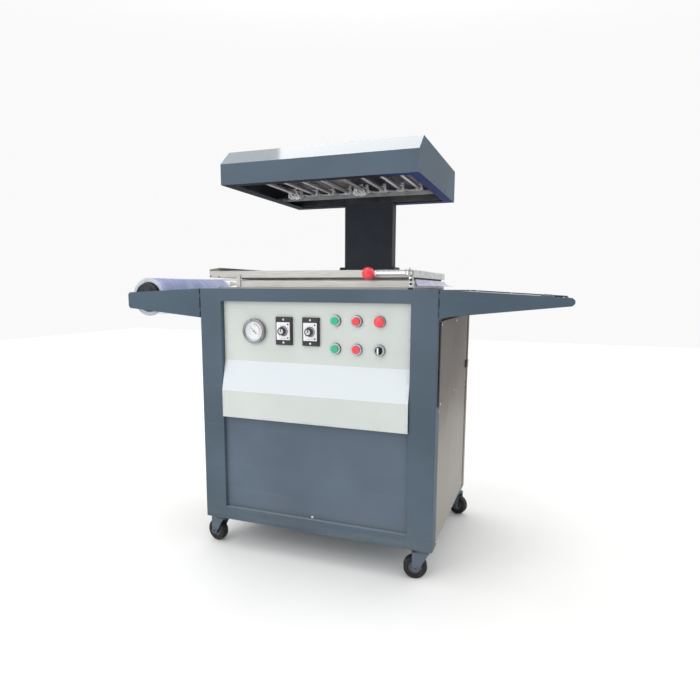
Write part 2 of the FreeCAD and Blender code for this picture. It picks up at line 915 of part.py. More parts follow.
def timers():
    """Square dial housings with rounded edges and a round dial plate."""
    bodies = []
    for across in timer_across:
        centre = on_panel(across, timer_down, timer_depth)
        body = box(centre.x - timer_width / 2, centre.x + timer_width / 2,
                   centre.y, centre.y + timer_depth,
                   centre.z - timer_height / 2, centre.z + timer_height / 2)
        body = rounded_rim(body, timer_edge, centre.y + over)
        hub = rod(centre + Y_AXIS * over, OUTWARD, dial_hub_radius, dial_hub_height + over)
        bodies.append(fused([body, hub]))
    return bodies


def dial_knob(across):
    """Round knob on a skirt, with a pointer from its middle to the skirt's edge."""
    face = on_panel(across, timer_down, timer_depth + dial_hub_height + seat_gap)
    skirt = rod(face, OUTWARD, dial_radius, dial_skirt)
    body = rod(face, OUTWARD, dial_body_radius, dial_height)
    pointer = box(face.x - dial_pointer / 2, face.x + dial_pointer / 2,
                  face.y - dial_height - dial_pointer_proud, face.y - over,
                  face.z, face.z + dial_radius - dial_pointer_inset)
    return fused([skirt, body, pointer])


def button_places():
    """Every button place: across and down, with its name."""
    columns = ("left", "middle", "right")
    rows = ("upper", "lower")
    places = {}
    for row, down in zip(rows, button_down):
        for column_name, across in zip(columns, button_across):
            places[row + "_" + column_name] = (across, down)
    return places


def button_bezels():
    """Chrome collars of the six buttons."""
    collars = []
    for across, down in button_places().values():
        face = on_panel(across, down, 0)
        collar = rod(face, OUTWARD, bezel_radius, bezel_height)
        collar = rounded_rim(collar, bezel_round, face.y - over)
        bore = rod(on_panel(across, down, bezel_floor), OUTWARD, bezel_bore, bezel_height)
        collars.append(collar.cut(bore))
    return collars


def in_collar(place, lift, length):
    """A round piece in a button's collar, lifted off the collar's floor."""
    across, down = button_places()[place]
    return rod(on_panel(across, down, bezel_floor + lift), OUTWARD, cap_radius, length)


def push_cap(place):
    """Coloured cap of a push button, with room to be pressed."""
    lift = cap_travel + seat_gap
    cap = in_collar(place, lift, bezel_height + cap_proud - bezel_floor - lift)
    return rounded_rim(cap, cap_round, cap.BoundBox.YMin + over)


def indicator_lamp():
    """Domed red lamp in the upper right collar."""
    lens = in_collar("upper_right", 0, bezel_height + lamp_proud - bezel_floor)
    return rounded_rim(lens, lamp_round, lens.BoundBox.YMin + over)


def selector_knob():
    """Black selector switch knob with a raised pointer grip."""
    disc = in_collar("lower_right", seat_gap, bezel_height - bezel_floor)
    across, down = button_places()["lower_right"]
    centre = on_panel(across, down, bezel_height)
    half = bezel_bore - selector_inset
    grip = box(centre.x - selector_width / 2, centre.x + selector_width / 2,
               centre.y - selector_height, centre.y, centre.z - half, centre.z + half)
    return fused([disc, grip])


# Casters

def caster_places():
    """Swivel axes of the four casters, by corner name."""
    x = half_width - caster_inset_x
    y = cabinet_depth / 2 - caster_inset_y
    return {
        "front_left": V(-x, -y, 0),
        "front_right": V(x, -y, 0),
        "rear_left": V(-x, y, 0),
        "rear_right": V(x, y, 0),
    }


def caster_plates():
    """Top plates of the casters, under the corners of the frames."""
    half_x = caster_plate_length / 2
    half_y = caster_plate_width / 2
    plates = []
    for place in caster_places().values():
        plates.append(box(place.x - half_x, place.x + half_x, place.y - half_y, place.y + half_y,
                          caster_height - caster_plate_thick, caster_height))
    return plates


def caster_fork(corner):
    """Swivel head, crown and two tapered legs with the wheel's axle."""
    top = caster_height - caster_plate_thick - seat_gap
    crown_top = top - swivel_height
    crown_rear = swivel_taper - swivel_radius
    inner = wheel_width / 2 + fork_side_gap
    outer = inner + fork_thick
    head = Part.makeCone(swivel_radius, swivel_radius - swivel_taper, swivel_height,
                         V(0, 0, crown_top), Z_AXIS)
    reach = caster_trail + fork_foot_radius
    crown = box(crown_rear, reach, -outer, outer, crown_top - crown_thick, crown_top)
    axle = V(caster_trail, 0, wheel_radius)
    pieces = [head, crown, rod(axle - Y_AXIS * outer, Y_AXIS, axle_radius, 2 * outer)]
    for side in SIDES:
        y0 = min(side * inner, side * outer)
        outline = [V(crown_rear, y0, crown_top), V(reach, y0, crown_top),
                   V(reach, y0, wheel_radius),
                   V(caster_trail - fork_foot_radius, y0, wheel_radius)]
        pieces.append(extrude(outline, V(0, fork_thick, 0)))
        pieces.append(rod(V(caster_trail, y0, wheel_radius), Y_AXIS, fork_foot_radius,
                          fork_thick))
        pieces.append(rod(axle + Y_AXIS * side * (outer - over), Y_AXIS * side,
                          axle_head_radius, axle_head + over))
    return moved(turned(fused(pieces), caster_turns[corner], Z_AXIS), caster_places()[corner])


def caster_wheel(corner):
    """Wheel with a rounded tread and dished hubs."""
    half = wheel_width / 2
    axle = V(caster_trail, 0, wheel_radius)
    tread = rod(axle - Y_AXIS * half, Y_AXIS, wheel_radius, wheel_width)
    rims = [edge for edge in tread.Edges if isinstance(edge.Curve, Part.Circle)]
    tread = tread.makeFillet(wheel_edge, rims)
    for side in SIDES:
        floor = axle + Y_AXIS * side * (half - hub_dish)
        away = Y_AXIS * side
        tread = tread.cut(rod(floor, away, hub_radius, hub_dish + over))
        tread = tread.fuse(rod(floor - away * over, away, hub_boss_radius, hub_dish + over))
    bore = through_bore(axle - Y_AXIS * half, Y_AXIS, axle_radius + shaft_gap, wheel_width)
    wheel = tread.cut(bore).removeSplitter()
    return moved(turned(wheel, caster_turns[corner], Z_AXIS), caster_places()[corner])


def machine():
    """Every node of the machine by name."""
    right_panel = side_panel()
    nodes = {
        "front_frame": front_frame(),
        "rear_frame": rear_frame(),
        "left_side_panel": mirrored_x(right_panel),
        "right_side_panel": right_panel,
        "rear_panel": rear_panel(),
        "top_deck": top_deck(),
        "floor_pan": floor_pan(),
        "control_panel": control_panel(),
        "lower_front_panel": lower_front_panel(),
        "side_cover": side_cover(),
        "left_arms": left_arms(),
        "right_arms": right_arms(),
        "outfeed_table": outfeed_table(),
        "cross_rod": cross_rod(),
        "film_wound": film_wound(),
        "roll_flanges": roll_flanges(),
        "roll_shaft": roll_shaft(),
        "film_web": film_web(),
        "lower_film_frame": lower_frame(),
        "lower_gasket": lower_gasket(),
        "film_sheet": film_sheet(),
        "lift_carriage": lift_carriage(),
        "upper_film_frame": upper_frame(),
        "upper_gasket": upper_gasket(),
        "film_guide": film_guide(),
        "clamp_lever": clamp_lever(),
        "lever_knob": lever_knob(),
        "column": column(),
        "hood_shell": hood_shell(),
        "heater_tray": heater_tray(),
        "heater_rails": heater_rails(),
        "heater_clips": heater_clips(),
        "heater_tubes": heater_tubes(),
        "vacuum_platen": vacuum_platen(),
        "gauge": gauge(),
        "timer_bodies": timers(),
        "left_dial_knob": dial_knob(timer_across[0]),
        "right_dial_knob": dial_knob(timer_across[1]),
        "button_bezels": button_bezels(),
        "green_button_upper": push_cap("upper_left"),
        "red_button_upper": push_cap("upper_middle"),
        "green_button_lower": push_cap("lower_left"),
        "red_button_lower": push_cap("lower_middle"),
        "indicator_lamp": indicator_lamp(),
        "selector_knob": selector_knob(),
        "caster_plates": caster_plates(),
    }
    for corner in caster_places():
        nodes["caster_fork_" + corner] = caster_fork(corner)
        nodes["caster_wheel_" + corner] = caster_wheel(corner)
    return nodes


def as_shape(pieces):
    """One shape from a solid or from a list of separate solids."""
    if isinstance(pieces, list):
        return Part.makeCompound(pieces)
    return pieces


def move_to_origin(shapes):
    """Move every node so that the middle of the machine's box stands on the origin."""
    whole = Part.makeCompound(list(shapes.values()))
    bounds = whole.optimalBoundingBox(False, False)
    offset = V(-(bounds.XMin + bounds.XMax) / 2, -(bounds.YMin + bounds.YMax) / 2, -bounds.ZMin)
    for shape in shapes.values():
        shape.translate(offset)
    return offset


def main():
    """Build every node and write one file for each."""
    shapes = {name: as_shape(pieces) for name, pieces in machine().items()}
    move_to_origin(shapes)
    os.makedirs("parts", exist_ok=True)
    for name, shape in shapes.items():
        shape.exportStep("parts/" + name + ".step")
        print(name, len(shape.Solids), round(shape.Volume), shape.isValid())


main()
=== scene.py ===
import json
import math

import bmesh
import bpy
from mathutils import Matrix, Vector, noise


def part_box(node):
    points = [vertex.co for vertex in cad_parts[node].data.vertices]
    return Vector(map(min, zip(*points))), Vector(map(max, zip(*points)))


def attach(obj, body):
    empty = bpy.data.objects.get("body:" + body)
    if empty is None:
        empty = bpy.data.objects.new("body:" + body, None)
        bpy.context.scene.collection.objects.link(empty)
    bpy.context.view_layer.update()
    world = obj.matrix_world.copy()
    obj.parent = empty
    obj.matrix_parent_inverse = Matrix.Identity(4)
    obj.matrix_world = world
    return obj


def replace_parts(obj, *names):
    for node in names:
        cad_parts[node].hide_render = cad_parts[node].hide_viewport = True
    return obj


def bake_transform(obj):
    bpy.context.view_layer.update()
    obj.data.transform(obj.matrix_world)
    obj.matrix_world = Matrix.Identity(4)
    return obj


bl_info = {
    "name": "Skin packaging machine",
    "version": (1, 0, 0),
    "blender": (4, 5, 0),
    "location": "View3D > Sidebar > Packer",
    "description": "Finishes, small parts, film and stage of a skin packaging machine",
    "category": "Object",
}

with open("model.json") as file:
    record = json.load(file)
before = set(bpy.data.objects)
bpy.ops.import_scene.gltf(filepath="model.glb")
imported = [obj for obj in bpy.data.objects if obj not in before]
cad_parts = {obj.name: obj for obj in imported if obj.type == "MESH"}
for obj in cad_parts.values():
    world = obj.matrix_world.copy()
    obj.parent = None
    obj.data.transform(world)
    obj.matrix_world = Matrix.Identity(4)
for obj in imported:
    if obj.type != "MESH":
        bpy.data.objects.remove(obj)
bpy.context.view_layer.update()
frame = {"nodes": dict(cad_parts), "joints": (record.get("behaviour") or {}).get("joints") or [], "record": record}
NODES = frame["nodes"]

MM = 0.001
FRONT = Vector((0, -1, 0))
BACK = Vector((0, 1, 0))
UP = Vector((0, 0, 1))
DOWN = Vector((0, 0, -1))
RIGHT = Vector((1, 0, 0))
LEFT = Vector((-1, 0, 0))
SMOOTH_ANGLE = math.radians(35)

# Sides of a round screw head
SCREW_SIDES = 20


# Places that the CAD nodes give

def corners(name):
    """Lowest and highest corners of a CAD node."""
    low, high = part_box(name)
    return Vector(low), Vector(high)


def middle(name):
    """Middle of a CAD node's box."""
    low, high = corners(name)
    return (low + high) / 2


FRAME_LOW, FRAME_HIGH = corners("front_frame")
REAR_LOW, REAR_HIGH = corners("rear_frame")
PANEL_LOW, PANEL_HIGH = corners("control_panel")
CABINET_X = (FRAME_LOW.x + FRAME_HIGH.x) / 2
CABINET_TOP = FRAME_HIGH.z
TIMER_LOW, TIMER_HIGH = corners("timer_bodies")
DIALS = [middle("left_dial_knob"), middle("right_dial_knob")]
HOOD_LOW, HOOD_HIGH = corners("hood_shell")
ROLL_LOW, ROLL_HIGH = corners("film_wound")
ROLL_AXIS = (ROLL_LOW + ROLL_HIGH) / 2
CLAMP_LOW, CLAMP_HIGH = corners("upper_film_frame")
LOWER_LOW, LOWER_HIGH = corners("lower_film_frame")
SHEET_LOW, SHEET_HIGH = corners("film_sheet")
WEB_HIGH = corners("film_web")[1]
COLUMN_LOW, COLUMN_HIGH = corners("column")
PLATEN_LOW, PLATEN_HIGH = corners("vacuum_platen")
TUBES_LOW, TUBES_HIGH = corners("heater_tubes")
RAILS_LOW, RAILS_HIGH = corners("heater_rails")
COVER_LOW, COVER_HIGH = corners("side_cover")
TABLE_LOW, TABLE_HIGH = corners("outfeed_table")


# Shader maths and materials

def linear(red, green, blue):
    """Colour of a paint card, 0 to 255, as the shader's own numbers."""
    def part(value):
        value = value / 255
        return value / 12.92 if value <= 0.04045 else ((value + 0.055) / 1.055) ** 2.4
    return (part(red), part(green), part(blue), 1.0)


class Socket:
    """A socket of a material, for shader maths written as plain sums."""

    def __init__(self, recipe, socket):
        self.recipe = recipe
        self.socket = socket

    def maths(self, operation, *values):
        return self.recipe.node("ShaderNodeMath", {"operation": operation},
                                dict(enumerate(values)))

    def __add__(self, other):
        return self.maths("ADD", self, other)

    def __radd__(self, other):
        return self.maths("ADD", other, self)

    def __sub__(self, other):
        return self.maths("SUBTRACT", self, other)

    def __rsub__(self, other):
        return self.maths("SUBTRACT", other, self)

    def __mul__(self, other):
        return self.maths("MULTIPLY", self, other)

    def __rmul__(self, other):
        return self.maths("MULTIPLY", other, self)

    def __truediv__(self, other):
        return self.maths("DIVIDE", self, other)

    def __pow__(self, other):
        return self.maths("POWER", self, other)

    def above(self, edge):
        return self.maths("GREATER_THAN", self, edge)

    def below(self, edge):
        return self.maths("LESS_THAN", self, edge)

    def absolute(self):
        return self.maths("ABSOLUTE", self)

    def sine(self):
        return self.maths("SINE", self)

    def least(self, other):
        return self.maths("MINIMUM", self, other)

    def most(self, other):
        return self.maths("MAXIMUM", self, other)

    def ramp(self, low, high):
        """0 at or under low, 1 at or over high, smooth between."""
        return self.recipe.node("ShaderNodeMapRange", {"interpolation_type": "SMOOTHSTEP"},
                                {"Value": self, "From Min": low, "From Max": high})


class Recipe:
    """A material or sky under construction, with one method for every kind of node."""

    def __init__(self, name, sky=None):
        self.material = sky or bpy.data.materials.new(name)
        self.material.use_nodes = True
        self.tree = self.material.node_tree
        self.tree.nodes.clear()
        self.place = self.node("ShaderNodeTexCoord", output="Generated" if sky else "Object")

    def node(self, kind, settings=None, inputs=None, output=0):
        made = self.tree.nodes.new(kind)
        for key, value in (settings or {}).items():
            setattr(made, key, value)
        for key, value in (inputs or {}).items():
            if isinstance(value, Socket):
                self.tree.links.new(value.socket, made.inputs[key])
            else:
                made.inputs[key].default_value = value
        return Socket(self, made.outputs[output])

    def mix(self, first, second, factor):
        return self.node("ShaderNodeMix", {"data_type": "RGBA"},
                         {0: factor, 6: first, 7: second}, 2)

    def stretched(self, scale):
        """Object coordinates drawn out, for brush lines and streaks."""
        return self.node("ShaderNodeMapping", {}, {"Vector": self.place, "Scale": scale})

    def noise(self, scale, detail=2.0, roughness=0.5, place=None):
        return self.node("ShaderNodeTexNoise", {},
                         {"Vector": place or self.place, "Scale": scale, "Detail": detail,
                          "Roughness": roughness})

    def cells(self, scale, output=0):
        return self.node("ShaderNodeTexVoronoi", {}, {"Vector": self.place, "Scale": scale},
                         output)

    def axes(self):
        split = self.tree.nodes.new("ShaderNodeSeparateXYZ")
        self.tree.links.new(self.place.socket, split.inputs[0])
        return [Socket(self, out) for out in split.outputs]

    def facing(self):
        """The three parts of the surface's own direction."""
        split = self.tree.nodes.new("ShaderNodeSeparateXYZ")
        normal = self.node("ShaderNodeNewGeometry", output="Normal")
        self.tree.links.new(normal.socket, split.inputs[0])
        return [Socket(self, out) for out in split.outputs]

    def bump(self, height, distance, strength=1.0):
        return self.node("ShaderNodeBump", {},
                         {"Height": height, "Distance": distance, "Strength": strength})

    def finish(self, **values):
        """Puts the values on a Principled shader and the shader on the output."""
        named = {key.replace("_", " ").title().replace("Ior", "IOR"): value
                 for key, value in values.items()}
        shader = self.node("ShaderNodeBsdfPrincipled", {}, named)
        self.output(shader)
        return self.material

    def output(self, shader):
        end = self.tree.nodes.new("ShaderNodeOutputMaterial")
        self.tree.links.new(shader.socket, end.inputs["Surface"])


def box_edges(recipe, low, high, width):
    """1 along the outer edges of a box, 0 away from them."""
    near = []
    for axis, a, b in zip(recipe.axes(), low, high):
        gap = (axis - a).absolute().least((axis - b).absolute())
        near.append(1 - gap.ramp(0.0, width))
    x, y, z = near
    return (x * y).most(y * z).most(x * z)


# Finishes. Each takes a name and gives a material.

def powder_paint(name, colour, low=None, high=None, gloss=0.46, bare=(120, 124, 128),
                 below=None):
    """Powder-coated sheet: fine orange peel, faint clouds and scuffs, rubbed edges, a painted highlight on faces
    that turn upwards and, when colours for below are given, painted shade and a painted blue reflection on faces
    that turn downwards.
    """
    r = Recipe(name)
    cloud = r.noise(3.2, 3.0, 0.5)
    speck = r.noise(900.0, 2.0, 0.6)
    scuff = r.noise(15.0, 4.0, 0.6, r.stretched((0.3, 0.3, 3.4)))
    base = linear(*colour)
    lighter = tuple(min(1.0, part * 1.09 + 0.003) for part in base[:3]) + (1.0,)
    darker = tuple(part * 0.90 for part in base[:3]) + (1.0,)
    tone = r.mix(darker, lighter, cloud.ramp(0.30, 0.70))
    tone = r.mix(tone, lighter, speck.ramp(0.58, 0.75) * 0.3)
    marks = scuff.ramp(0.60, 0.76)
    tone = r.mix(tone, linear(*(min(255, part + 26) for part in colour)), marks * 0.16)
    x, y, z = r.axes()
    dust = (1 - z.ramp(0.09, 0.20)) * scuff.ramp(0.35, 0.7) * 0.25
    tone = r.mix(tone, linear(126, 124, 118), dust)
    rough = gloss + cloud * 0.08 + dust * 0.3 + marks * 0.06
    if low is not None:
        chips = r.noise(160.0, 3.0, 0.65)
        worn = box_edges(r, low, high, 0.0020) * chips.ramp(0.57, 0.63)
        tone = r.mix(tone, linear(*bare), worn * 0.7)
        rough = rough + worn * 0.1
    coat = 0.0
    face_z = r.facing()[2]
    # Painted highlight: faces that turn upwards are lighter and bluer, as if lit from above.
    painted_top_highlight = face_z.ramp(0.8, 0.95)
    tone = r.mix(tone, linear(150, 163, 173), painted_top_highlight * 0.6)
    if below:
        coat = face_z.ramp(0.3, 0.5)
        # Painted shade: faces that turn downwards go near black, turning to a painted blue reflection towards the
        # right and the back.
        under = (0 - face_z).ramp(0.6, 0.8)
        blue = (x + y * 0.4).ramp(0.02, 0.16)
        tone = r.mix(tone, r.mix(linear(*below[0]), linear(*below[1]), blue), under)
        rough = rough + under * 0.15
    peel = r.noise(420.0, 2.0, 0.4)
    return r.finish(base_color=tone, roughness=rough, specular_ior_level=0.08,
                    coat_weight=coat, coat_roughness=0.07,
                    normal=r.bump(peel, 0.00025, 0.3))


def side_sheet_paint(name, top, foot, low=None, high=None):
    """Grey-beige side paint, with painted shade that darkens and browns it towards its top, most on the right
    side, and painted shade in the gaps at the front edge and behind the side cover; with a box, a painted
    highlight along its edges.
    """
    r = Recipe(name)
    x, y, z = r.axes()
    cloud = r.noise(4.0, 4.0, 0.55)
    scuff = r.noise(11.0, 4.0, 0.6, r.stretched((1.0, 2.6, 0.4)))
    # Painted shade: towards the top, and most on the right side, the paint goes to the darker, browner top colour.
    right = x.ramp(0.12, 0.30)
    tone = r.mix(linear(*foot), linear(*top),
                 (z + cloud * 0.1).ramp(0.15, 0.80) * (right * 0.8 + 0.2))
    tone = r.mix(tone, linear(196, 192, 184), scuff.ramp(0.56, 0.8) * 0.16)
    tone = r.mix(tone, linear(92, 82, 72), cloud.ramp(0.55, 0.85) * 0.2)
    # Painted shade: dark bands along the front edge and just behind the side cover, on the right side and higher
    # up.
    front_gap_shade = 1 - (y - REAR_LOW.y).ramp(0.0, 0.016)
    rear_gap_shade = (y - COVER_HIGH.y).ramp(0.0, 0.003) * (1 - (y - COVER_HIGH.y).ramp(0.018, 0.03))
    gap_shade = front_gap_shade.most(rear_gap_shade) * right * (z + cloud * 0.2).ramp(0.42, 0.66)
    tone = r.mix(tone, linear(58, 50, 46), gap_shade * 0.8)
    rough = 0.44 + cloud * 0.12
    if low is not None:
        # Painted highlight: a lighter band along every edge of the box, as where edges catch the light.
        worn = box_edges(r, low, high, 0.0020)
        tone = r.mix(tone, linear(205, 200, 190), worn * 0.6)
    peel = r.noise(420.0, 2.0, 0.4)
    return r.finish(base_color=tone, roughness=rough, specular_ior_level=0.3,
                    normal=r.bump(peel, 0.00025, 0.3))


def panel_enamel(name, colour):
    """Pale enamel of the control panel, with faint cloud, peel and a few dirty wipes, and a painted highlight on
    faces that turn upwards.
    """
    r = Recipe(name)
    cloud = r.noise(6.0, 3.0, 0.5)
    wipe = r.noise(9.0, 4.0, 0.6, r.stretched((0.5, 1.0, 1.6)))
    base = linear(*colour)
    darker = tuple(part * 0.93 for part in base[:3]) + (1.0,)
    tone = r.mix(darker, base, cloud.ramp(0.3, 0.7))
    tone = r.mix(tone, linear(176, 172, 160), wipe.ramp(0.56, 0.8) * 0.25)
    x, _, z = r.axes()
    low, high = PANEL_LOW, PANEL_HIGH
    face_z = r.facing()[2]
    # Painted highlight: faces that turn upwards go lighter and bluer, as if lit from above.
    tone = r.mix(tone, linear(212, 219, 226), face_z.ramp(0.08, 0.3))
    edge = (1 - (x - low.x).absolute().least((x - high.x).absolute()).ramp(0.0, 0.012))
    foot = 1 - (z - low.z).ramp(0.0, 0.01)
    grime = edge.most(foot) * r.noise(40.0, 4.0, 0.6).ramp(0.4, 0.75)
    tone = r.mix(tone, linear(150, 146, 134), grime * 0.4)
    peel = r.noise(380.0, 2.0, 0.4)
    return r.finish(base_color=tone, roughness=0.36 + cloud * 0.08 + grime * 0.2,
                    specular_ior_level=0.5, normal=r.bump(peel, 0.0002, 0.3))


def brushed_steel(name, colour, grain=(1.0, 60.0, 60.0), rough=0.32, metallic=0.85,
                  smudge=0.25):
    """Metal with fine drawn lines, smudges and a few scratches."""
    r = Recipe(name)
    lines = r.noise(22.0, 3.0, 0.7, r.stretched(grain))
    cloud = r.noise(11.0, 4.0, 0.6)
    scratch = r.noise(30.0, 2.0, 0.5, r.stretched((0.3, 14.0, 9.0)))
    base = linear(*colour)
    darker = tuple(part * 0.72 for part in base[:3]) + (1.0,)
    tone = r.mix(darker, base, lines.ramp(0.3, 0.62))
    tone = r.mix(tone, linear(118, 112, 102), cloud.ramp(0.58, 0.82) * smudge)
    tone = r.mix(tone, linear(236, 236, 236), scratch.ramp(0.70, 0.74) * 0.4)
    return r.finish(base_color=tone, metallic=metallic,
                    roughness=rough + lines * 0.12 + cloud.ramp(0.5, 0.8) * 0.15,
                    normal=r.bump(lines, 0.00012, 0.4))


def satin_bar_steel(name):
    """Pale satin bars of the clamp: cream steel, mottled on the ends, with a painted highlight on the faces that
    turn to the right.
    """
    r = Recipe(name)
    lines = r.noise(18.0, 3.0, 0.7, r.stretched((1.0, 70.0, 70.0)))
    spots = r.noise(130.0, 4.0, 0.7)
    cloud = r.noise(9.0, 3.0, 0.55)
    face_x = r.facing()[0]
    tone = r.mix(linear(158, 156, 152), linear(188, 186, 182), lines.ramp(0.3, 0.65))
    tone = r.mix(tone, linear(146, 145, 142), cloud.ramp(0.5, 0.8) * 0.3)
    mottled = face_x.absolute().ramp(0.6, 0.8) * spots.ramp(0.42, 0.62)
    # Painted highlight: faces that turn to +X are lifted nearly to white.
    tone = r.mix(tone, linear(224, 225, 225), face_x.ramp(0.6, 0.8) * 0.85)
    tone = r.mix(tone, linear(142, 141, 138), mottled * 0.45)
    edge = box_edges(r, CLAMP_LOW, CLAMP_HIGH, 0.0016)
    tone = r.mix(tone, linear(240, 240, 236), edge * 0.5)
    return r.finish(base_color=tone, metallic=0.55,
                    roughness=0.34 + spots * 0.12 + mottled * 0.15,
                    normal=r.bump(lines, 0.00012, 0.35))


def galvanised(name, colour=(178, 180, 182)):
    """Zinc sheet with its pale crystal pattern."""
    r = Recipe(name)
    flake = r.cells(55.0, "Color")
    grey = r.node("ShaderNodeRGBToBW", {}, {"Color": flake})
    cloud = r.noise(7.0, 4.0, 0.6)
    base = linear(*colour)
    darker = tuple(part * 0.78 for part in base[:3]) + (1.0,)
    tone = r.mix(darker, base, grey.ramp(0.1, 0.9))
    tone = r.mix(tone, linear(132, 128, 120), cloud.ramp(0.55, 0.85) * 0.4)
    return r.finish(base_color=tone, metallic=0.8, roughness=0.36 + grey * 0.16,
                    normal=r.bump(grey, 0.00008, 0.4))


def bright_reflector(name):
    """Bright aluminium over the heaters, wavy and heat-stained near the rods."""
    r = Recipe(name)
    wave = r.noise(7.0, 3.0, 0.5)
    heat = r.noise(16.0, 4.0, 0.6)
    tone = r.mix(linear(62, 63, 66), linear(104, 105, 108), wave.ramp(0.3, 0.7))
    tone = r.mix(tone, linear(70, 60, 50), heat.ramp(0.5, 0.8) * 0.5)
    return r.finish(base_color=tone, metallic=0.9, roughness=0.30 + heat * 0.2,
                    normal=r.bump(wave, 0.004, 0.5))


def cast_platen(name):
    """Milled aluminium table plate with cutter arcs and rub marks."""
    r = Recipe(name)
    ring = r.node("ShaderNodeTexWave", {"wave_type": "RINGS", "rings_direction": "Z"},
                  {"Vector": r.place, "Scale": 70.0, "Distortion": 1.5, "Detail": 1.0},
                  "Fac")
    rub = r.noise(20.0, 5.0, 0.65)
    tone = r.mix(linear(138, 140, 142), linear(186, 188, 189), ring * 0.35 + rub * 0.5)
    z = r.axes()[2]
    # Painted shade: darker in the grooves, below the top face.
    groove = 1 - (z - (PLATEN_HIGH.z - 0.0019)).ramp(0.0, 0.0012)
    tone = r.mix(tone, linear(58, 58, 58), groove * 0.55)
    return r.finish(base_color=tone, metallic=0.75, roughness=0.38 + rub * 0.18,
                    normal=r.bump(ring, 0.00006, 0.5))


def column_paint(name):
    """Near-black satin paint of the column, rubbed where the collar runs."""
    r = Recipe(name)
    cloud = r.noise(6.0, 4.0, 0.6)
    rub = r.noise(26.0, 4.0, 0.6, r.stretched((1.0, 1.0, 0.12)))
    tone = r.mix(linear(58, 62, 69), linear(68, 72, 80), cloud.ramp(0.3, 0.7))
    tone = r.mix(tone, linear(74, 78, 86), rub.ramp(0.62, 0.8) * 0.3)
    peel = r.noise(420.0, 2.0, 0.4)
    return r.finish(base_color=tone, roughness=0.55 + cloud * 0.12, specular_ior_level=0.15,
                    normal=r.bump(peel, 0.0002, 0.3))


def ceramic(name):
    """Matt white ceramic with hairline glaze and scorched spots."""
    r = Recipe(name)
    spot = r.noise(70.0, 4.0, 0.6)
    tone = r.mix(linear(250, 249, 246), linear(214, 208, 198), spot.ramp(0.55, 0.8) * 0.6)
    return r.finish(base_color=tone, roughness=0.42 + spot * 0.2,
                    normal=r.bump(spot, 0.0002, 0.4))


def quartz_tube(name):
    """Frosted heater rod, with the turns of its wire showing through."""
    r = Recipe(name)
    y = r.axes()[1]
    turns = (y * 2400.0).sine()
    cloud = r.noise(24.0, 3.0, 0.5)
    ends = (y - TUBES_LOW.y).below(0.0222).most((TUBES_HIGH.y - y).below(0.0222))
    tone = r.mix(linear(112, 106, 107), linear(158, 150, 151), turns.ramp(-0.3, 0.8))
    tone = r.mix(tone, linear(98, 86, 84), cloud.ramp(0.5, 0.8) * 0.5)
    tone = r.mix(tone, linear(240, 239, 235), ends)
    return r.finish(base_color=tone, roughness=0.24 + ends * 0.25 + cloud * 0.1,
                    coat_weight=0.5, coat_roughness=0.08, normal=r.bump(turns, 0.0001, 0.4))


def chrome(name):
    """Bright plating with faint fingerprints."""
    r = Recipe(name)
    print_mark = r.noise(95.0, 4.0, 0.6)
    tone = r.mix(linear(226, 228, 232), linear(186, 188, 192), print_mark.ramp(0.5, 0.8))
    return r.finish(base_color=tone, metallic=1.0,
                    roughness=0.10 + print_mark.ramp(0.5, 0.85) * 0.18)


def moulded_plastic(name, colour, gloss=0.38, grain=650.0, lift=0.0002):
    """Moulded plastic with a fine grain and handling marks."""
    r = Recipe(name)
    grainy = r.noise(grain, 2.0, 0.5)
    rub = r.noise(60.0, 4.0, 0.6)
    base = linear(*colour)
    lighter = tuple(min(1.0, part * 1.25 + 0.012) for part in base[:3]) + (1.0,)
    tone = r.mix(base, lighter, rub.ramp(0.45, 0.8) * 0.6)
    return r.finish(base_color=tone, roughness=gloss + rub * 0.14,
                    normal=r.bump(grainy, lift, 0.35))


def dial_knob_plastic(name):
    """Black knob on a pale skirt, lightly worn on its ribs."""
    r = Recipe(name)
    y = r.axes()[1]
    high = corners("left_dial_knob")[1]
    skirt = (y - (high.y - 4.1 * MM)).ramp(0.0, 0.0002)
    rub = r.noise(90.0, 4.0, 0.6)
    black = r.mix(linear(30, 30, 33), linear(62, 62, 66), rub.ramp(0.5, 0.8) * 0.6)
    pale = r.mix(linear(206, 207, 212), linear(176, 177, 182), rub.ramp(0.4, 0.8))
    return r.finish(base_color=r.mix(black, pale, skirt), roughness=0.36 + rub * 0.12,
                    normal=r.bump(rub, 0.0001, 0.3))


def button_plastic(name, colour):
    """Glossy coloured cap, paler at its worn middle."""
    r = Recipe(name)
    rub = r.noise(170.0, 3.0, 0.6)
    swirl = r.noise(40.0, 3.0, 0.5)
    base = linear(*colour)
    worn = tuple(part * 0.9 + 0.03 for part in base[:3]) + (1.0,)
    tone = r.mix(base, worn, rub.ramp(0.4, 0.8) * 0.45)
    return r.finish(base_color=tone, roughness=0.26 + swirl * 0.14, coat_weight=0.3,
                    coat_roughness=0.12, normal=r.bump(rub, 0.0001, 0.2))


def lamp_lens(name):
    """Ribbed translucent red lens."""
    r = Recipe(name)
    x, _, z = r.axes()
    rib = (x * 3800.0).sine() * (z * 3800.0).sine()
    tone = r.mix(linear(232, 34, 52), linear(255, 84, 92), rib.ramp(-0.4, 0.8))
    return r.finish(base_color=tone, roughness=0.2 + rib.absolute() * 0.08, coat_weight=0.5,
                    coat_roughness=0.06, normal=r.bump(rib, 0.0002, 0.5))


def rubber(name, colour, ribs=0.0):
    """Dull rubber with a dusty bloom and, on wheels, fine moulding rings."""
    r = Recipe(name)
    bloom = r.noise(34.0, 5.0, 0.65)
    grainy = r.noise(700.0, 2.0, 0.5)
    base = linear(*colour)
    tone = r.mix(base, linear(108, 104, 98), bloom.ramp(0.5, 0.85) * 0.4)
    height = grainy
    if ribs:
        x = r.axes()[0]
        height = grainy * 0.3 + (x * ribs).sine() * 0.5
    return r.finish(base_color=tone, roughness=0.62 + bloom * 0.2,
                    normal=r.bump(height, 0.0003, 0.4))


